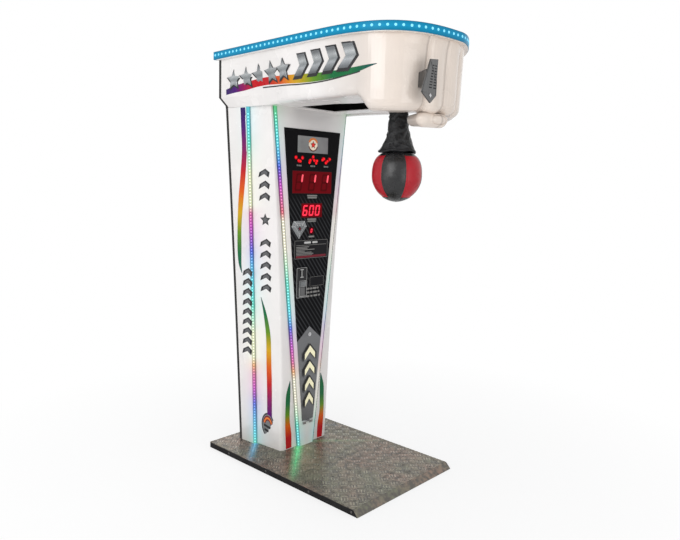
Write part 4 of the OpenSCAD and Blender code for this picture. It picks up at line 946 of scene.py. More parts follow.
class BM_OT_stage(Operator):
    """Builds the floor, the lamps, the white surroundings and the camera"""
    bl_idname = "bm.stage"
    bl_label = "Stage"

    # The photograph's camera: its axes, its focal length and its centre, in pixels
    EYE = (-2.59586, -2.37750, 1.56042)
    AXES = ((0.67994, -0.73278, 0.02666), (0.07257, 0.10343, 0.99199), (-0.72967, -0.67255, 0.12351))
    FOCAL, CENTRE, PHOTO = 655.538, (342.796, 264.996), (680, 540)
    SENSOR = 36.0

    def execute(self, context):
        sizes = context.scene.bm_stage
        clear()
        bpy.ops.mesh.primitive_plane_add(size=sizes.floor, location=(0, 0, 0))
        floor = named("floor")
        s = finish("pale_floor", (0.93, 0.93, 0.93), 0.7)
        away = s.node("VectorMath", {0: s.at}, operation="LENGTH").outputs["Value"]
        seen = s.times(s.node("LightPath").outputs["Is Camera Ray"], s.fit(away, 0.55, 2.4, 0.72, 1.0))
        glow = s.node("Emission", {"Color": (1, 1, 1, 1), "Strength": 1.0}).outputs[0]
        s.fill(s.tree.nodes["Material Output"],
               {0: s.node("MixShader", {0: seen, 1: s.shader.outputs[0], 2: glow}).outputs[0]})
        s.feed(Roughness=s.fit(s.use("surface_grain", Scale=20.0)[1], 0.2, 0.8, 0.6, 0.8))
        floor.data.materials.append(FINISHES["pale_floor"])

        world = context.scene.world or bpy.data.worlds.new("studio")
        context.scene.world = world
        world.use_nodes = True
        world.node_tree.nodes.clear()
        s = Shade(world.node_tree)
        ray = s.node("LightPath").outputs
        shown = s.maths("MAXIMUM", ray["Is Camera Ray"],
                        s.maths("MAXIMUM", ray["Is Glossy Ray"], ray["Is Transmission Ray"]))
        light = s.node("Background", {"Color": (0.98, 0.99, 1.0, 1.0), "Strength": 0.68}).outputs[0]
        white = s.node("Background", {"Color": (1, 1, 1, 1), "Strength": 1.0}).outputs[0]
        mixed = s.node("MixShader", {0: shown, 1: light, 2: white}).outputs[0]
        s.node("OutputWorld", {0: mixed}).is_active_output = True

        aim = Vector((0, 0, 1.1))
        for name, place, size, share in (("key_lamp", (-3.9, -0.9, 2.8), 2.2, 1.0),
                                         ("fill_lamp", (-0.4, -4.2, 1.2), 2.4, 0.50),
                                         ("back_lamp", (1.5, 3.6, 3.0), 2.2, 0.40),
                                         ("edge_lamp", (-4.2, 0.9, 1.0), 1.6, 0.25)):
            bpy.ops.object.light_add(type="AREA", location=place)
            lamp = bpy.context.object
            lamp.name = name
            lamp.data.size = size
            lamp.data.energy = sizes.key * share
            lamp.rotation_euler = (aim - Vector(place)).to_track_quat("-Z", "Y").to_euler()

        bpy.ops.object.camera_add(location=self.EYE)
        camera = bpy.context.object
        camera.name = "photo_camera"
        camera.rotation_euler = Matrix(self.AXES).transposed().to_euler()
        lens, (width, height) = camera.data, self.PHOTO
        lens.sensor_width = self.SENSOR
        lens.lens = self.FOCAL / width * self.SENSOR
        lens.shift_x = (width / 2 - self.CENTRE[0]) / width
        lens.shift_y = (self.CENTRE[1] - height / 2) / width
        lens.clip_start, lens.clip_end = 0.05, 200.0
        context.scene.camera = camera
        context.scene.view_settings.view_transform = "Standard"
        return {"FINISHED"}


def dome(radius, rise, sides):
    """A low lens: a disc raised in two rings."""
    lens = disc("lamp", sides, radius)
    step_up(rise * 0.6, 0.86)
    step_up(rise * 0.4, 0.5)
    return close(lens)


class BM_OT_light_rows(Operator):
    """Sets the small lamps along the four strips of the column and round the head's band"""
    bl_idname = "bm.light_rows"
    bl_label = "Rows of lamps"

    def execute(self, context):
        sizes = context.scene.bm_rows
        for row, axis, out, material in (("side_light_left", 1, (-1, 0, 0), "side_dot"),
                                         ("side_light_right", 1, (1, 0, 0), "side_dot"),
                                         ("front_light_left", 0, (0, -1, 0), "front_dot"),
                                         ("front_light_right", 0, (0, -1, 0), "front_dot")):
            start, lean = row_line(row, axis)
            out = Vector(out)
            places = []
            for i in range(int((ROW_TOP - ROW_BOTTOM - 0.02) / sizes.pitch)):
                point = out * 0.6
                point.z = ROW_BOTTOM + 0.012 + i * sizes.pitch
                point[axis] = start + lean * (ROW_BOTTOM + 0.012 + i * sizes.pitch)
                places.append(lying(row, point, -out))
            settle(spread(dome(sizes.dot, 0.0012, 8), places, row.replace("light", "lamps")), material)
        lamps = spread(dome(sizes.band_dot, 0.002, 10), self.band(sizes.band_pitch), "band_lamps")
        settle(lamps, "band_dot")
        return {"FINISHED"}

    def band(self, pitch):
        """Places at even steps along the band; the ring starts in the open rear."""
        height = low("light_band").z + 0.55 * (high("light_band").z - low("light_band").z)
        ring = []
        for i in range(1440):
            a = math.radians(90 + i / 4)
            out = Vector((math.cos(a), math.sin(a), 0))
            ring.append(touch("light_band", UP * height + out * 2, -out))
        run, places = 0.0, []
        for i, (place, normal) in enumerate(ring):
            length = (place - ring[i - 1][0]).length
            run += length if length < pitch else -run
            if run >= pitch:
                run -= pitch
                places.append(facing(place, Vector((normal.x, normal.y, 0)).normalized()))
        return places


class BM_OT_tread(Operator):
    """Raises the crossed bars of the tread plate on the deck and on the ramp"""
    bl_idname = "bm.tread"
    bl_label = "Tread bars"

    def execute(self, context):
        sizes = context.scene.bm_tread
        length, pitch = sizes.cell * 0.92, sizes.cell / sizes.bars
        end, shoulder, side = length / 2, length * 0.36, pitch * 0.37
        bar = flat_shape("bar", [(-end, 0), (-shoulder, side), (shoulder, side), (end, 0), (shoulder, -side),
                                 (-shoulder, -side)], sizes.rise)
        edit(bar)
        pick("faces", lambda f: f.normal.z > 0.9)
        bpy.ops.transform.resize(value=(0.94, 0.62, 1.0))
        leave()
        bar.data.transform(Matrix.Translation((0, 0, -0.0003)))
        bars = spread(bar, self.places(sizes, pitch), "tread_bars")
        deck_lo, deck_hi = low("tread_plate"), high("tread_plate")
        for place, normal in (((0, deck_lo.y + 0.001, 0), (0, -1, 0)), ((0, deck_hi.y - 0.001, 0), (0, 1, 0)),
                              ((0.001 - deck_hi.x, 0, 0), (-1, 0, 0)), ((deck_hi.x - 0.001, 0, 0), (1, 0, 0))):
            edit(bars, "VERT")
            bpy.ops.mesh.bisect(plane_co=place, plane_no=normal, use_fill=True, clear_outer=True)
            leave()
        self.clear_column(bars)
        settle(bars, "tread_bar", smooth=25)
        return {"FINISHED"}

    def places(self, sizes, pitch):
        """Squares of parallel bars in turn along and across, the whole turned by 45 degrees."""
        deck_lo, deck_hi = low("tread_plate"), high("tread_plate")
        centre = Vector((0, (deck_lo.y + deck_hi.y) / 2, DECK_Z))
        ramp_front = low("ramp_plate").y
        n = int((deck_hi - deck_lo).length / 2 / sizes.cell + 1) + 1
        spin = Matrix.Rotation(math.radians(45), 4, "Z")
        places = []
        for i in range(-n, n + 1):
            for j in range(-n, n + 1):
                for k in range(sizes.bars):
                    off = (k - (sizes.bars - 1) / 2) * pitch
                    across = (i + j) % 2 == 0
                    shift = (off, 0) if across else (0, off)
                    at = Vector((i * sizes.cell + shift[0], j * sizes.cell + shift[1], 0))
                    place = spin @ Matrix.Translation(at) @ Matrix.Rotation(math.radians(90 * across), 4, "Z")
                    spot = centre + place.translation
                    on_deck = (abs(spot.x) <= deck_hi.x + 0.02
                               and ramp_front - 0.02 <= spot.y <= deck_hi.y + 0.02)
                    if on_deck and not (abs(spot.x) < 0.19 and 0.31 < spot.y < 0.60):
                        places.append(Matrix.Translation(centre) @ place)
        return places

    def clear_column(self, bars):
        """Takes away the bars that would stand in the foot of the column."""
        front, rear = low("column_side_left").y + 0.004, high("rear_panel").y
        half = {v.co.y: abs(v.co.x) for v in frame["nodes"]["column_side_left"].data.vertices
                if v.co.z < DECK_Z + 0.001 and v.co.x < 0}
        wide = max(half.values())
        narrow = max(x for y, x in half.items() if y < front + 0.01)

        def under(vertex):
            share = min(max((vertex.co.y - front) / (rear - front), 0), 1)
            return front < vertex.co.y < rear and abs(vertex.co.x) < narrow + share * (wide - narrow) - 0.003
        edit(bars, "VERT")
        pick("verts", under)
        bpy.ops.mesh.select_linked(delimit=set())
        bpy.ops.mesh.delete(type="VERT")
        leave()


class BM_OT_head_graphics(Operator):
    """Lays the rainbow run and the row of bright glyphs on both flanks of the fist"""
    bl_idname = "bm.head_graphics"
    bl_label = "Head graphics"

    # The run's lower and upper edge: (y, z, z)
    EDGES = [(0.565, 2.018, 2.046), (0.450, 2.028, 2.066), (0.286, 2.047, 2.084), (0.122, 2.041, 2.080),
             (-0.038, 2.030, 2.071), (-0.173, 2.029, 2.065), (-0.302, 2.037, 2.066),
             (-0.412, 2.052, 2.073), (-0.494, 2.076, 2.079)]

    def execute(self, context):
        self.flank(-1, "left", 0.497, 0.1005)
        self.flank(1, "right", 0.440, 0.0940)
        return {"FINISHED"}

    def flank(self, side, word, start, pitch):
        reach = (-side * 0.3, 0, 0)
        lows = eased([(side * 0.5, y, a) for y, a, _ in self.EDGES], 140)
        highs = eased([(side * 0.5, y, b) for y, _, b in self.EDGES], 140)
        settle(stroke("head_run_" + word, lows, highs, "head_shell", reach), "head_run")
        line = eased([(side * 0.5, y, a - 0.010 + 0.0015 * i)
                      for i, (y, a, _) in enumerate(self.EDGES[2:8])], 90)
        settle(stroke("head_pinstripe_" + word, [p - UP * 0.002 for p in line],
                      [p + UP * 0.004 for p in line], "head_shell", reach), "black_ink")
        backs, faces = [], []
        for i in range(9):
            y = start - i * pitch - (0.045 if i > 4 else 0)
            size = 0.043 + 0.0010 * i
            outline = star(size * 1.16, 0.5) if i < 5 else chevron(size * 1.75, size * 2.05, size * 1.10, 0.28)
            if side > 0:
                outline = [(-u, v) for u, v in reversed(outline)]
            lay = lying("head_shell", (side * 0.6, y, 2.092 + (0.497 - y) * 0.036), (-side, 0, 0))
            backs.append(flat_shape("back", scaled(outline, 1.24, 1.20, -side * 0.0035, -0.0045), 0.0012,
                                    lay @ Matrix.Translation((0, 0, -0.0006))))
            faces.append(flat_shape("face", outline, 0.0026, lay @ SUNK, 0.0014))
        settle(joined("head_glyph_backs_" + word, backs), "black_ink")
        settle(joined("head_glyphs_" + word, faces), "chrome_glyph", smooth=25)


class BM_OT_column_graphics(Operator):
    """Lays the rainbow runs and the rows of chevrons on the flanks and the front of the column"""
    bl_idname = "bm.column_graphics"
    bl_label = "Column graphics"

    SIDE = "column_side_left"
    # Each run's two edges: (z, y, y) on the flank and (z, x, x) in front
    UPPER = [(1.950, 0.484, 0.446), (1.832, 0.485, 0.443), (1.725, 0.487, 0.448), (1.591, 0.508, 0.467),
             (1.454, 0.534, 0.493), (1.313, 0.551, 0.518), (1.172, 0.560, 0.527), (1.090, 0.554, 0.532),
             (1.042, 0.531, 0.528)]
    LOWER = [(0.214, 0.391, 0.356), (0.300, 0.390, 0.354), (0.380, 0.389, 0.353), (0.557, 0.387, 0.352),
             (0.703, 0.385, 0.354), (0.816, 0.396, 0.374), (0.916, 0.412, 0.409)]
    FRONT = [(0.036, 0.104, 0.146), (0.117, 0.106, 0.152), (0.205, 0.121, 0.156), (0.285, 0.121, 0.155),
             (0.356, 0.119, 0.152), (0.405, 0.120, 0.137), (0.436, 0.122, 0.125)]

    def execute(self, context):
        for name, table in (("upper_run", self.UPPER), ("lower_run", self.LOWER)):
            edges = (eased([(-0.5, row[k], row[0]) for row in table], 44) for k in (1, 2))
            both_sides(stroke(name + "_left", *edges, self.SIDE, (0.3, 0, 0)), name, name)
        edges = (eased([(-row[k], 0.2, row[0]) for row in self.FRONT], 30) for k in (1, 2))
        both_sides(stroke("front_run_left", *edges, self.SIDE, (0, 0.2, 0)), "front_run", "front_run")

        arrow = [(-v + 0.30 * x, x) for x, v in chevron(0.78, 1.14, 0.46)]
        marks = [(arrow, 0.4813 + 0.0572 * i * 0.0606, 1.052 - 0.0572 * i, 0.060) for i in range(9)]
        marks += [(star(0.6) if i == 4 else arrow, 0.3525 + 0.0632 * i * 0.030, 1.604 - 0.0632 * i, 0.056)
                  for i in range(11) if i not in (3, 5)]
        rims, cores = [], []
        for outline, y, z, size in marks:
            lay = lying(self.SIDE, (-0.6, y, z), (1, 0, 0)) @ SUNK
            rims.append(flat_shape("rim", scaled(outline, size * 1.08, size * 1.08), 0.0010, lay))
            cores.append(flat_shape("core", scaled(outline, size * 0.66, size * 0.66, 0, 0.001), 0.0014, lay))
        both_sides(joined("column_glyphs_left", rims), "column_glyphs", "black_ink")
        both_sides(joined("column_glyph_cores_left", cores), "column_glyph_cores", "grey_ink")
        self.roundel()
        return {"FINISHED"}

    def roundel(self):
        """A round badge low on the flank: a dark disc, a grey one, an orange arc and two slanted bars."""
        lay = lying(self.SIDE, (-0.6, 0.388, 0.164), (1, 0, 0)) @ SUNK @ Matrix.Diagonal((1.05, 1.62, 1, 1))
        bar = [(-0.030, -0.0055), (0.026, -0.0155), (0.028, -0.0065), (-0.028, 0.0035)]
        layers = ((circle(0.046, 40), 0.0008, "black_ink"),
                  (circle(0.040, 40), 0.0011, "badge_grey"),
                  (arc(0.0175, 0.036, 14, 166), 0.0014, "crimson_legend"),
                  (arc(0.0225, 0.0305, 18, 162), 0.0017, "emblem_arc"),
                  (bar, 0.0014, "black_ink"),
                  (scaled(bar, 0.9, 1, 0, -0.0165), 0.0014, "black_ink"))
        for i, (outline, thick, material) in enumerate(layers):
            name = f"roundel_{i}"
            both_sides(flat_shape(name + "_left", outline, thick, lay), name, material)


# Each segment's middle in half widths and half heights, and whether it stands upright
SEGMENTS = {"a": (0, 1, False), "b": (0.5, 0.5, True), "c": (0.5, -0.5, True), "d": (0, -1, False),
            "e": (-0.5, -0.5, True), "f": (-0.5, 0.5, True), "g": (0, 0, False)}
LIT = {"0": "abcdef", "1": "b", "6": "acdefg"}
LEAN = 0.16


def digits(name, text, centre, width, height, gap, thick, lit="digit_lit"):
    """Seven bars for each digit, the lit ones in one piece and the dark ones in another."""
    on, off = [], []
    bar_w = height * thick
    w = bar_w / 2
    for i, character in enumerate(text):
        cx = centre[0] + (i - (len(text) - 1) / 2) * (width + gap)
        for key, (sx, sy, upright) in SEGMENTS.items():
            end = ((height / 2 if upright else width) - bar_w * 0.35) / 2
            bar = [(-end, 0), (-end + w, w), (end - w, w), (end, 0), (end - w, -w), (-end + w, -w)]
            if upright:
                bar = [(-v, u) for u, v in bar]
            px, py = sx * (width - bar_w), sy * (height / 2 - w)
            shape = [(px + u + LEAN * (py + v), py + v) for u, v in bar]
            shown = key in LIT[character]
            (on if shown else off).append(flat_shape("bar", shape, 0.0016 if shown else 0.0009,
                                                     on_panel(cx, centre[1], MODULE_Y, 0.0002)))
    settle(joined(name + "_lit", on), lit)
    settle(joined(name + "_dark", off), "digit_dark")


def legend_rows(name, rows, material="grey_legend", y=PANEL_Y):
    """Small printed bars that stand where words would be; rows of (x, z, width, height)."""
    settle(joined(name, [flat_shape("row", rounded(width, height, min(width, height) * 0.3, 2), 0.0007,
                                    on_panel(x, z, y)) for x, z, width, height in rows]), material)


def open_frame(name, outline, line, thick, place):
    """A thin raised frame: a drawn face inset once, its middle taken out and the rest raised."""
    piece = disc(name, len(outline), 1)
    leave()
    for vertex in piece.data.vertices:
        turn = math.atan2(vertex.co.y, vertex.co.x) % math.tau
        vertex.co = (*outline[round(turn / math.tau * len(outline)) % len(outline)], 0)
    edit(piece)
    bpy.ops.mesh.inset(thickness=line, depth=0.0)
    bpy.ops.mesh.delete(type="FACE")
    select_all()
    push((0, 0, thick))
    close(piece)
    piece.data.transform(place)
    return piece


def rim_round(name, node, grow, line, thick, material, y=PANEL_Y, radius=0.003):
    """A rim along a CAD node's outline, this much larger than the node."""
    mid, size = middle(node), high(node) - low(node)
    settle(open_frame(name, rounded(size.x + grow, size.z + grow, radius, 3), line, thick,
                      on_panel(mid.x, mid.z, y)), material)


class BM_OT_window(Operator):
    """Fills the upper window with a generic ringed star"""
    bl_idname = "bm.window"
    bl_label = "Upper window"

    def execute(self, context):
        mid, face = middle("upper_window"), low("upper_window").y
        layers = ((circle(0.0335, 48), 0.0006, "emblem_body"),
                  (arc(0.0275, 0.0385, 22, 158), 0.0010, "emblem_arc"),
                  (arc(0.0300, 0.0365, 196, 344), 0.0009, "emblem_print"),
                  (star(0.0215, 0.50), 0.0012, "emblem_print"),
                  (star(0.0145, 0.50), 0.0017, "emblem_red"))
        for i, (outline, thick, material) in enumerate(layers):
            settle(flat_shape(f"window_emblem_{i}", outline, thick, on_panel(mid.x, mid.z, face)), material)
        return {"FINISHED"}


class BM_OT_lamps(Operator):
    """Domes the nine red lamps and puts a row of small bars under each group"""
    bl_idname = "bm.lamps"
    bl_label = "Red lamps"

    NEAR = 0.016   # points this close to each other belong to one lamp
    CELL = 0.012

    def execute(self, context):
        columns = {}
        for vertex in frame["nodes"]["score_lamps"].data.vertices:
            if vertex.co.y < PANEL_Y - 0.001:
                key = round(vertex.co.x / self.CELL), round(vertex.co.z / self.CELL)
                columns.setdefault(key, []).append(vertex.co)
        centres = []
        for points in columns.values():
            mid = sum(points, Vector()) / len(points)
            near = next((c for c in centres if (c[0] / c[1] - mid).length < self.NEAR), None)
            if near:
                near[0] += mid
                near[1] += 1
            else:
                centres.append([mid.copy(), 1])
        face = low("score_lamps")
        places = [on_panel(total.x / count, total.z / count, face.y, 0) for total, count in centres]
        settle(spread(dome(0.0074, 0.0035, 20), places, "score_lamp_domes"), "red_lens")
        legend_rows("lamp_legends", [(group_x + 0.013 * i, face.z - 0.012, 0.0105, 0.009)
                                     for group_x in (-0.105, 0.0, 0.105) for i in (-1, 0, 1)])
        return {"FINISHED"}


class BM_OT_displays(Operator):
    """Sets the digits of the score, the record and the credit, and the bars below them"""
    bl_idname = "bm.displays"
    bl_label = "Displays"

    def execute(self, context):
        score, record, credit = (middle(name + "_display").z for name in ("score", "record", "credit"))
        digits("score", "111", (-0.003, score), 0.052, 0.098, 0.048, 0.11, "score_lit")
        digits("record", "600", (-0.004, record), 0.036, 0.060, 0.012, 0.15)
        digits("credit", "0", (0.0, credit), 0.013, 0.023, 0.0, 0.2)
        for node, name in (("score_display", "score_rim"), ("record_display", "record_rim"),
                           ("upper_window", "window_rim")):
            rim_round(name, node, 0.004, 0.002, 0.0008, "black_plastic")
        rows = [(0.0, low("credit_display").z - 0.014, 0.044, 0.009)]
        for z, width in ((low("score_display").z - 0.018, 0.078), (low("record_display").z - 0.016, 0.070)):
            rows += [(0.0, z + 0.0055, width, 0.0085), (0.0, z - 0.0055, width * 0.92, 0.0085)]
        legend_rows("display_legends", rows)
        return {"FINISHED"}


class BM_OT_rules(Operator):
    """Prints the rules plate: a frame, a heading, grey lines and a crimson bar"""
    bl_idname = "bm.rules"
    bl_label = "Rules plate"

    def execute(self, context):
        lo, hi = low("rules_plate"), high("rules_plate")
        x, face, top = (lo.x + hi.x) / 2, lo.y, hi.z - 0.016
        room = hi.x - lo.x - 0.05
        rim_round("rules_rim", "rules_plate", -0.006, 0.0016, 0.0009, "grey_legend", face)
        legend_rows("rules_heading", [(x - 0.030, top, 0.052, 0.011), (x + 0.028, top, 0.040, 0.011)],
                    "white_legend", face)
        lines = [(x, top - 0.014, room + 0.020, 0.0022)]
        lines += [(lo.x + 0.016 + share * room / 2, top - 0.024 - 0.0078 * i, share * room, 0.0044)
                  for i, share in enumerate((0.46, 0.40, 0.66, 0.30, 0.55, 0.62, 0.58))]
        legend_rows("rules_lines", lines, y=face)
        legend_rows("rules_bar", [(x, lo.z + 0.014, room + 0.020, 0.013)], "crimson_legend", face)
        return {"FINISHED"}


class BM_OT_coin_entry(Operator):
    """Frames the coin plate, its slot and its return, with bars instead of words"""
    bl_idname = "bm.coin_entry"
    bl_label = "Coin entry"

    SLOT_Z = 1.053

    def execute(self, context):
        x, face = middle("coin_plate").x, low("coin_plate").y
        rim_round("coin_rim", "coin_plate", -0.002, 0.0014, 0.0008, "white_legend", face, 0.004)
        ends = [(x, self.SLOT_Z + s * 0.0215, 0.026, 0.0035) for s in (-1, 1)]
        sides = [(x + s * 0.0040, self.SLOT_Z, 0.0022, 0.040) for s in (-1, 1)]
        legend_rows("slot_marks", ends + sides, "white_legend", face - 0.0014)
        button, cup = middle("reject_button"), middle("return_cup")
        settle(open_frame("button_rim", rounded(0.052, 0.034, 0.003, 3), 0.0016, 0.0007,
                          on_panel(button.x, button.z, face)), "white_legend")
        legend_rows("return_marks", [(cup.x - 0.026, cup.z, 0.003, 0.050), (cup.x, cup.z - 0.028, 0.050, 0.003)],
                    "white_legend", face)
        rows = []
        for row in range(3):
            run = -0.030
            for length in (0.024, 0.017, 0.030, 0.014):
                rows.append((run + length / 2, 0.960 - 0.0215 * row, length, 0.0105))
                run += length + 0.004 + 0.002 * row
        legend_rows("coin_legends", rows)
        rim_round("spare_rim", "spare_plate", -0.004, 0.0012, 0.0006, "grey_legend", low("spare_plate").y)
        return {"FINISHED"}


class BM_OT_gem(Operator):
    """Sets small facets and a red stone on the silver badge"""
    bl_idname = "bm.gem"
    bl_label = "Gem badge"

    TABLE = 0.62   # the flat top's share of the gem's outline

    def execute(self, context):
        lo, hi = low("diamond_badge"), high("diamond_badge")
        x, z, half = (lo.x + hi.x) / 2, lo.z + 0.70 * (hi.z - lo.z), (hi.x - lo.x) / 2
        corners = scaled([(-0.72, 0.030), (-1, 0), (0, -0.070), (1, 0), (0.72, 0.030)], half, 1)
        table = scaled(corners, self.TABLE, self.TABLE)
        ridges = []
        for (u, v), (p, q) in zip(corners, table):
            outer, inner = Vector((x + u, lo.y + 0.005, z + v)), Vector((x + p, lo.y, z + q))
            side = (inner - outer).cross(TO_PLAYER).normalized() * 0.0012
            ridges.append(drawn("ridge", [outer + side, outer - side, inner - side, inner + side],
                                TO_PLAYER * 0.0009))
        settle(joined("gem_ridges", ridges), "chrome_trim")
        settle(open_frame("gem_rim", table, 0.0022, 0.0012, on_panel(x, z, lo.y)), "chrome_trim")
        facet = [(-0.007, 0), (0, 0.00525), (0.007, 0), (0, -0.007)]
        facets = [flat_shape("facet", facet, 0.0012, on_panel(x + dx, z + 0.009, lo.y), 0.0006)
                  for dx in (-0.018, 0, 0.018)]
        settle(joined("gem_facets", facets), "chrome_trim", smooth=20)
        for name, size, material, thick in (("gem_star", 0.0155, "black_ink", 0.0010),
                                            ("gem_stone", 0.0090, "crimson_legend", 0.0018)):
            settle(flat_shape(name, star(size, 0.55), thick, on_panel(x, z - 0.012, lo.y)), material)
        return {"FINISHED"}


class BM_OT_cash_door_print(Operator):
    """Prints a column of cream arrows with dark rims on the cash door"""
    bl_idname = "bm.cash_door_print"
    bl_label = "Cash door print"

    ARROW = [(-0.5, -0.42), (-0.5, -0.02), (0, 0.5), (0.5, -0.02), (0.5, -0.42), (0, 0.08)]

    def execute(self, context):
        rims, cores = [], []
        for i in range(4):
            outline = scaled(self.ARROW, 0.092 - 0.007 * i, 0.100)
            place = on_panel(0.002, 0.585 - 0.093 * i, low("cash_door").y)
            rims.append(flat_shape("rim", scaled(outline, 1.16, 1.12), 0.0007, place))
            cores.append(flat_shape("core", scaled(outline, 0.88, 0.86), 0.0012, place))
        settle(joined("door_arrow_rims", rims), "black_ink", body="cash_panel")
        settle(joined("door_arrows", cores), "cream_print", body="cash_panel")
        return {"FINISHED"}


def ball_out(z, radius):
    """The ball's radius at a height from its middle: fuller above than below."""
    power = 2.8 if z > 0 else 1.9
    return radius * max(0.0, 1 - (abs(z) / radius) ** power) ** (1 / power)


class BM_OT_ball(Operator):
    """Spins the stuffed leather ball, sinks its seams and pads its panels"""
    bl_idname = "bm.ball"
    bl_label = "Ball"

    CAP_TOP, CAP_FOOT = 0.098, -0.101   # where the two black caps begin, from the ball's middle

    def execute(self, context):
        sizes = context.scene.bm_ball
        radius = sizes.radius
        turn = math.tau / sizes.panels
        levels = [radius * math.sin(math.radians(i * 2.15)) for i in range(-40, 33)]
        profile = [(0.0, -radius)] + [(ball_out(z, radius), z) for z in levels if z < 0.914 * radius]
        top = 0.913 * radius
        profile += [(ball_out(top, radius), top), (0.053, top + 0.0042), (0.040, top + 0.0060)]
        ball = line_through("stuffed_ball", [BALL_MID + Vector((r, 0, z)) for r, z in profile])
        bpy.ops.mesh.spin(steps=24 * sizes.panels, angle=math.tau, center=BALL_MID, axis=UP)
        select_all()
        bpy.ops.mesh.remove_doubles(threshold=0.00002)
        pick("edges", lambda e: len(e.link_faces) == 1)
        bpy.ops.mesh.edge_face_add()
        close(ball)
        mesh = ball.data
        for vertex in mesh.vertices:
            off = vertex.co - BALL_MID
            flat = off.xy.length
            if flat < 0.004:
                continue
            angle = math.atan2(off.y, off.x)
            near = abs((angle + turn / 2) % turn - turn / 2) * flat
            pad = 0.0016 * math.cos((angle % turn - turn / 2) / turn * math.pi) ** 0.8 * min(1, flat / 0.08)
            sink = sizes.seam * math.exp(-(near / 0.0026) ** 2) * (1 if abs(off.z) < 0.86 * radius else 0.3)
            ripple = 0.0005 * noise.noise(vertex.co * 38) * min(1.0, near / 0.01)
            vertex.co += off.normalized() * (pad - sink + ripple - 0.0012)
        mesh.materials.clear()
        for key in ("ball_black", "ball_red"):
            mesh.materials.append(FINISHES[key])
        for face in mesh.polygons:
            off = face.center - BALL_MID
            red = int(math.atan2(off.y, off.x) % math.tau / turn) % 2 == 0
            face.material_index = int(red and self.CAP_FOOT < off.z < self.CAP_TOP)
        edit(ball)
        pick("faces", lambda f: (f.calc_center_median() - BALL_MID).z < self.CAP_FOOT)
        bpy.ops.mesh.extrude_region_shrink_fatten(TRANSFORM_OT_shrink_fatten={"value": 0.0018})
        leave()
        modify(ball, "SUBSURF", levels=1, render_levels=1)
        settle(ball, body="arm", smooth=40)
        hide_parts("ball")
        self.stitches(sizes, turn)
        return {"FINISHED"}

    def stitches(self, sizes, turn):
        """A row of short stitches beside both sides of every seam."""
        places = []
        for i in range(sizes.panels):
            for side in (-1, 1):
                z = -0.098
                while z < 0.096:
                    r = ball_out(z, sizes.radius)
                    a = i * turn + side * 0.0056 / r
                    out = Vector((math.cos(a), math.sin(a), 0))
                    rise = (ball_out(z + 0.001, sizes.radius) - ball_out(z - 0.001, sizes.radius)) / 0.002
                    normal = (out - UP * rise).normalized()
                    along = UP.cross(normal).cross(normal) * -1
                    places.append(facing(BALL_MID + UP * z + out * r - normal * 0.0006, normal,
                                         along.normalized()))
                    z += 0.0075 / math.sqrt(1 + rise * rise)
        clear()
        bpy.ops.mesh.primitive_cylinder_add(vertices=6, radius=0.0006, depth=0.0042,
                                            rotation=(math.pi / 2, 0, 0))
        stitch = named("stitch")
        edit(stitch)
        pick("faces", lambda f: abs(f.normal.z) > 0.9)
        bpy.ops.transform.resize(value=(0.4, 0.4, 1.0))
        leave()
        settle(spread(stitch, places, "ball_stitches"), "ball_black", "arm")


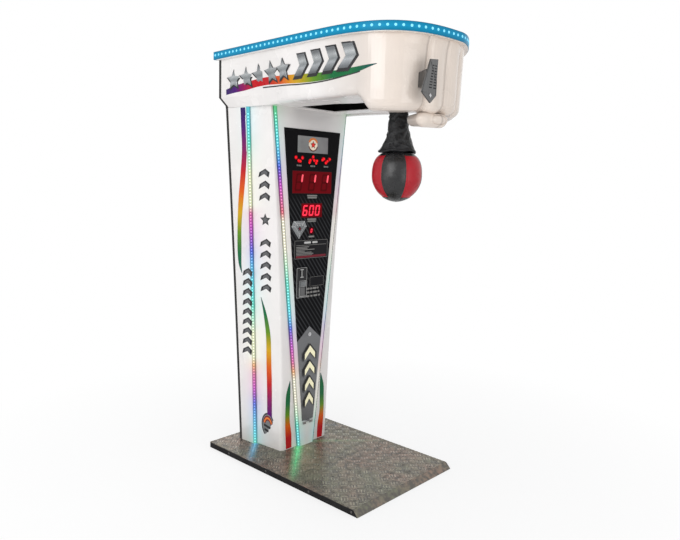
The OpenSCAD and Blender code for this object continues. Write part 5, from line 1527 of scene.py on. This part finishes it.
class BM_OT_sleeve(Operator):
    """Wraps the arm in a creased leather sleeve with a folded hem"""
    bl_idname = "bm.sleeve"
    bl_label = "Arm sleeve"

    HEM = 1.721
    SEAM = math.radians(-47)   # where the two halves meet, with a sewn corner at the hem
    CUT_AREA = 0.085

    def execute(self, context):
        rows, steps = 96, 160
        clear()
        bpy.ops.mesh.primitive_grid_add(x_subdivisions=steps, y_subdivisions=rows, size=1, location=(0, 0, 0))
        sleeve = named("leather_sleeve")
        for vertex in sleeve.data.vertices:
            vertex.co = self.place((vertex.co.x + 0.5) * math.tau, vertex.co.y + 0.5)
        edit(sleeve, "VERT")
        bpy.ops.mesh.remove_doubles(threshold=0.00005)
        close(sleeve)
        modify(sleeve, "SOLIDIFY", thickness=0.0022, offset=-1.0)
        modify(sleeve, "SUBSURF", levels=1, render_levels=1)
        settle(sleeve, "sleeve_leather", "arm", 50)
        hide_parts("arm_sleeve")
        settle(joined("sleeve_welts", [self.welt(self.SEAM + turn) for turn in (0, math.pi)]),
               "sleeve_leather", "arm", 60)
        return {"FINISHED"}

    def place(self, angle, down):
        """A point of the outside: tight on the arm above, flared to two sewn corners at the hem."""
        z = SLEEVE_TOP - down * (SLEEVE_TOP - self.HEM)
        flare = down ** 2.6
        corner = abs(math.cos(angle - self.SEAM)) ** 5
        radius = 0.0445 + 0.036 * flare + 0.018 * corner * down ** 5
        round_at = Vector((math.cos(angle), math.sin(angle), 0))
        broad = noise.noise((round_at * 0.9 + UP * z * 14) * 1.7)
        folds = math.sin(z * 150 + 3.0 * math.sin(angle + 0.6) + 5 * broad)
        folds = math.copysign(abs(folds) ** 0.7, folds)
        ring = (0.30 + 0.70 * math.exp(-((down - 0.30) / 0.16) ** 2)
                + 0.5 * math.exp(-((down - 0.62) / 0.10) ** 2))
        radius += 0.0021 * folds * ring * (1 - 0.6 * flare)
        twist = math.sin(2 * angle + z * 62 + 4 * broad)
        radius += 0.0024 * (1 - abs(twist)) ** 3 * (0.3 + 0.7 * down)
        radius += (0.0010 + 0.0030 * flare) * math.sin(5 * angle + 2.2 * broad + 9 * down)
        radius += 0.0012 * noise.noise((round_at + UP * z * 40) * 3.1)
        if down > 0.93:
            hem = (down - 0.93) / 0.07
            radius += 0.0045 * math.sin(hem * math.pi) - 0.010 * hem ** 2
        if down < 0.03:
            radius -= 0.006 * (1 - down / 0.03)
        drop = 0.010 * down ** 4 * (corner + 0.35 * math.sin(2 * angle + 0.5) + 0.25 * math.sin(5 * angle))
        return Vector((ARM_AXIS.x, ARM_AXIS.y, z - drop)) + round_at * radius

    def welt(self, angle):
        """The raised welt where the two halves of the sleeve are sewn together."""
        out = Vector((math.cos(angle), math.sin(angle), 0)) * 0.0004
        points = [self.place(angle, 0.02 + 0.90 * i / 60) + out for i in range(61)]
        welt = disc("welt", 8, 0.0016, points[0])
        for a, b in zip(points, points[1:]):
            push(b - a)
        return close(welt)


def screw(radius, rise):
    """A button head with a recess pressed in."""
    head = disc("screw", 24, radius)
    push((0, 0, rise * 0.5))
    step_up(rise * 0.35, 0.82)
    step_up(rise * 0.15, 0.60)
    bpy.ops.mesh.inset(thickness=radius * 0.16, depth=0.0)
    push((0, 0, -rise * 0.55))
    return close(head)


class BM_OT_screws(Operator):
    """Sets the screws of the rear panel, the display panel and the platform"""
    bl_idname = "bm.screws"
    bl_label = "Screws"

    def execute(self, context):
        behind = high("rear_panel").y + 0.3
        spots = [(side * (self.half("rear_panel", z, 1) - 0.022), z)
                 for z in (0.10, 0.55, 1.05, 1.50, 1.90) for side in (-1, 1)]
        spots += [(x, 2.17) for x in (-0.33, -0.11, 0.11, 0.33)]
        places = [lying("rear_panel", (x, behind, z), (0, -1, 0)) for x, z in spots]
        settle(spread(screw(0.0055, 0.0024), places, "rear_screws"), "bright_steel")

        places = [lying("display_panel", (side * (self.half("display_panel", z, -1) - 0.010), PANEL_Y - 0.2, z),
                        (0, 1, 0)) for z in (1.834, 1.420, 1.090, 0.820) for side in (-1, 1)]
        settle(spread(screw(0.0032, 0.0014), places, "panel_screws"), "black_plastic")

        places = [lying("side_rails", (side * 0.6, y, 0.016), (-side, 0, 0))
                  for side in (-1, 1) for y in (-0.44, -0.15, 0.18, 0.50)]
        settle(spread(screw(0.0060, 0.0026), places, "rail_screws"), "frame_steel")
        return {"FINISHED"}

    def half(self, node, z, side):
        """Half the width of a flat node at a height, seen from the rear (1) or the front (-1)."""
        for step in range(110):
            x = 0.44 - 0.004 * step
            if hit(node, (x, side * 1.2, z), (0, -side, 0))[0]:
                return x
        raise RuntimeError(f"{node} isn't there at {z}")


class BM_OT_thumb_nail(Operator):
    """Raises the nail on the moulded thumb"""
    bl_idname = "bm.thumb_nail"
    bl_label = "Thumb nail"

    SIDES = 28
    # Each ring's share of the outline and its lift from the thumb, from the nail's back inwards
    RINGS = ((1.15, 0.0005), (1.10, -0.0052), (1.02, -0.0052), (0.94, -0.0002), (0.88, -0.0038), (0.5, -0.0062))

    def execute(self, context):
        radius, inset = 0.05, 0.006
        clear()
        bpy.ops.mesh.primitive_cylinder_add(vertices=self.SIDES, end_fill_type="NGON", radius=radius, depth=0.01)
        nail = named("thumb_nail")
        edit(nail)
        pick("faces", lambda f: f.normal.z > 0.9)
        for _ in range(4):
            bpy.ops.mesh.inset(thickness=inset)
        leave()
        for vertex in nail.data.vertices:
            ring = 0 if vertex.co.z < 0 else 1 + round((radius - vertex.co.xy.length) / inset)
            i = round(math.atan2(vertex.co.y, vertex.co.x) / math.tau * self.SIDES) % self.SIDES
            vertex.co = self.spot(math.tau * i / self.SIDES, *self.RINGS[ring])
        edit(nail)
        settle(close(nail), "moulded_white", smooth=60)
        return {"FINISHED"}

    def spot(self, a, scale, lift):
        x = 0.046 * math.copysign(abs(math.cos(a)) ** 0.7, math.cos(a))
        z = 0.021 * math.copysign(abs(math.sin(a)) ** 0.8, math.sin(a))
        place, _ = touch("thumb_moulding", (-0.076 + x * scale, -0.9, 1.8585 + z * scale), (0, 1, 0))
        return place - TO_PLAYER * lift


class BM_OT_crest_trim(Operator):
    """Engraves the plate on the fist with lines, a rim and a small stone"""
    bl_idname = "bm.crest_trim"
    bl_label = "Crest trim"

    OUTLINE = [(0.040, 0.102), (-0.016, 0.096), (-0.0705, -0.044), (-0.007, -0.084), (0.0325, -0.051),
               (0.0335, 0.012)]

    def execute(self, context):
        face = low("crest").y
        rows = [flat_shape("line", rounded(0.0115 + 0.0012 * i, 0.0042, 0.002, 2), 0.0008,
                           on_panel(-0.203 - 0.0014 * i + side * (0.0095 + 0.0008 * i), 2.074 - 0.0118 * i, face))
                for i in range(9) for side in (-1, 1)]
        settle(joined("crest_lines", rows), "black_plastic")
        rim = open_frame("crest_rim", self.OUTLINE, 0.0028, 0.0012, on_panel(-0.218, 2.0, face))
        settle(rim, "brushed_dark")
        stone = flat_shape("stone", star(0.010, 0.62, 4), 0.0022, on_panel(-0.228, 1.946, face), 0.0010)
        settle(stone, "chrome_trim", smooth=20)
        return {"FINISHED"}


OPERATORS = (BM_OT_node_finishes, BM_OT_stage, BM_OT_light_rows, BM_OT_tread, BM_OT_head_graphics,
             BM_OT_column_graphics, BM_OT_window, BM_OT_lamps, BM_OT_displays, BM_OT_rules, BM_OT_coin_entry,
             BM_OT_gem, BM_OT_cash_door_print, BM_OT_ball, BM_OT_sleeve, BM_OT_screws, BM_OT_thumb_nail,
             BM_OT_crest_trim)


class BM_PT_panel(Panel):
    """Lists the steps that build the machine's looks"""
    bl_idname = "BM_PT_panel"
    bl_label = "Boxing machine"
    bl_space_type = "VIEW_3D"
    bl_region_type = "UI"
    bl_category = "Boxing machine"

    def draw(self, context):
        for key, kind in GROUPS:
            box = self.layout.box()
            for name in kind.__annotations__:
                box.prop(getattr(context.scene, key), name)
        for operator in OPERATORS:
            self.layout.operator(operator.bl_idname)


def register():
    for key, kind in GROUPS:
        bpy.utils.register_class(kind)
        setattr(bpy.types.Scene, key, PointerProperty(type=kind))
    for kind in (*OPERATORS, BM_PT_panel):
        bpy.utils.register_class(kind)


def unregister():
    for kind in reversed((*OPERATORS, BM_PT_panel)):
        bpy.utils.unregister_class(kind)
    for key, kind in reversed(GROUPS):
        delattr(bpy.types.Scene, key)
        bpy.utils.unregister_class(kind)


def main():
    register()
    for operator in OPERATORS:
        getattr(bpy.ops.bm, operator.bl_idname.split(".")[1])()


if __name__ == "__main__":
    main()
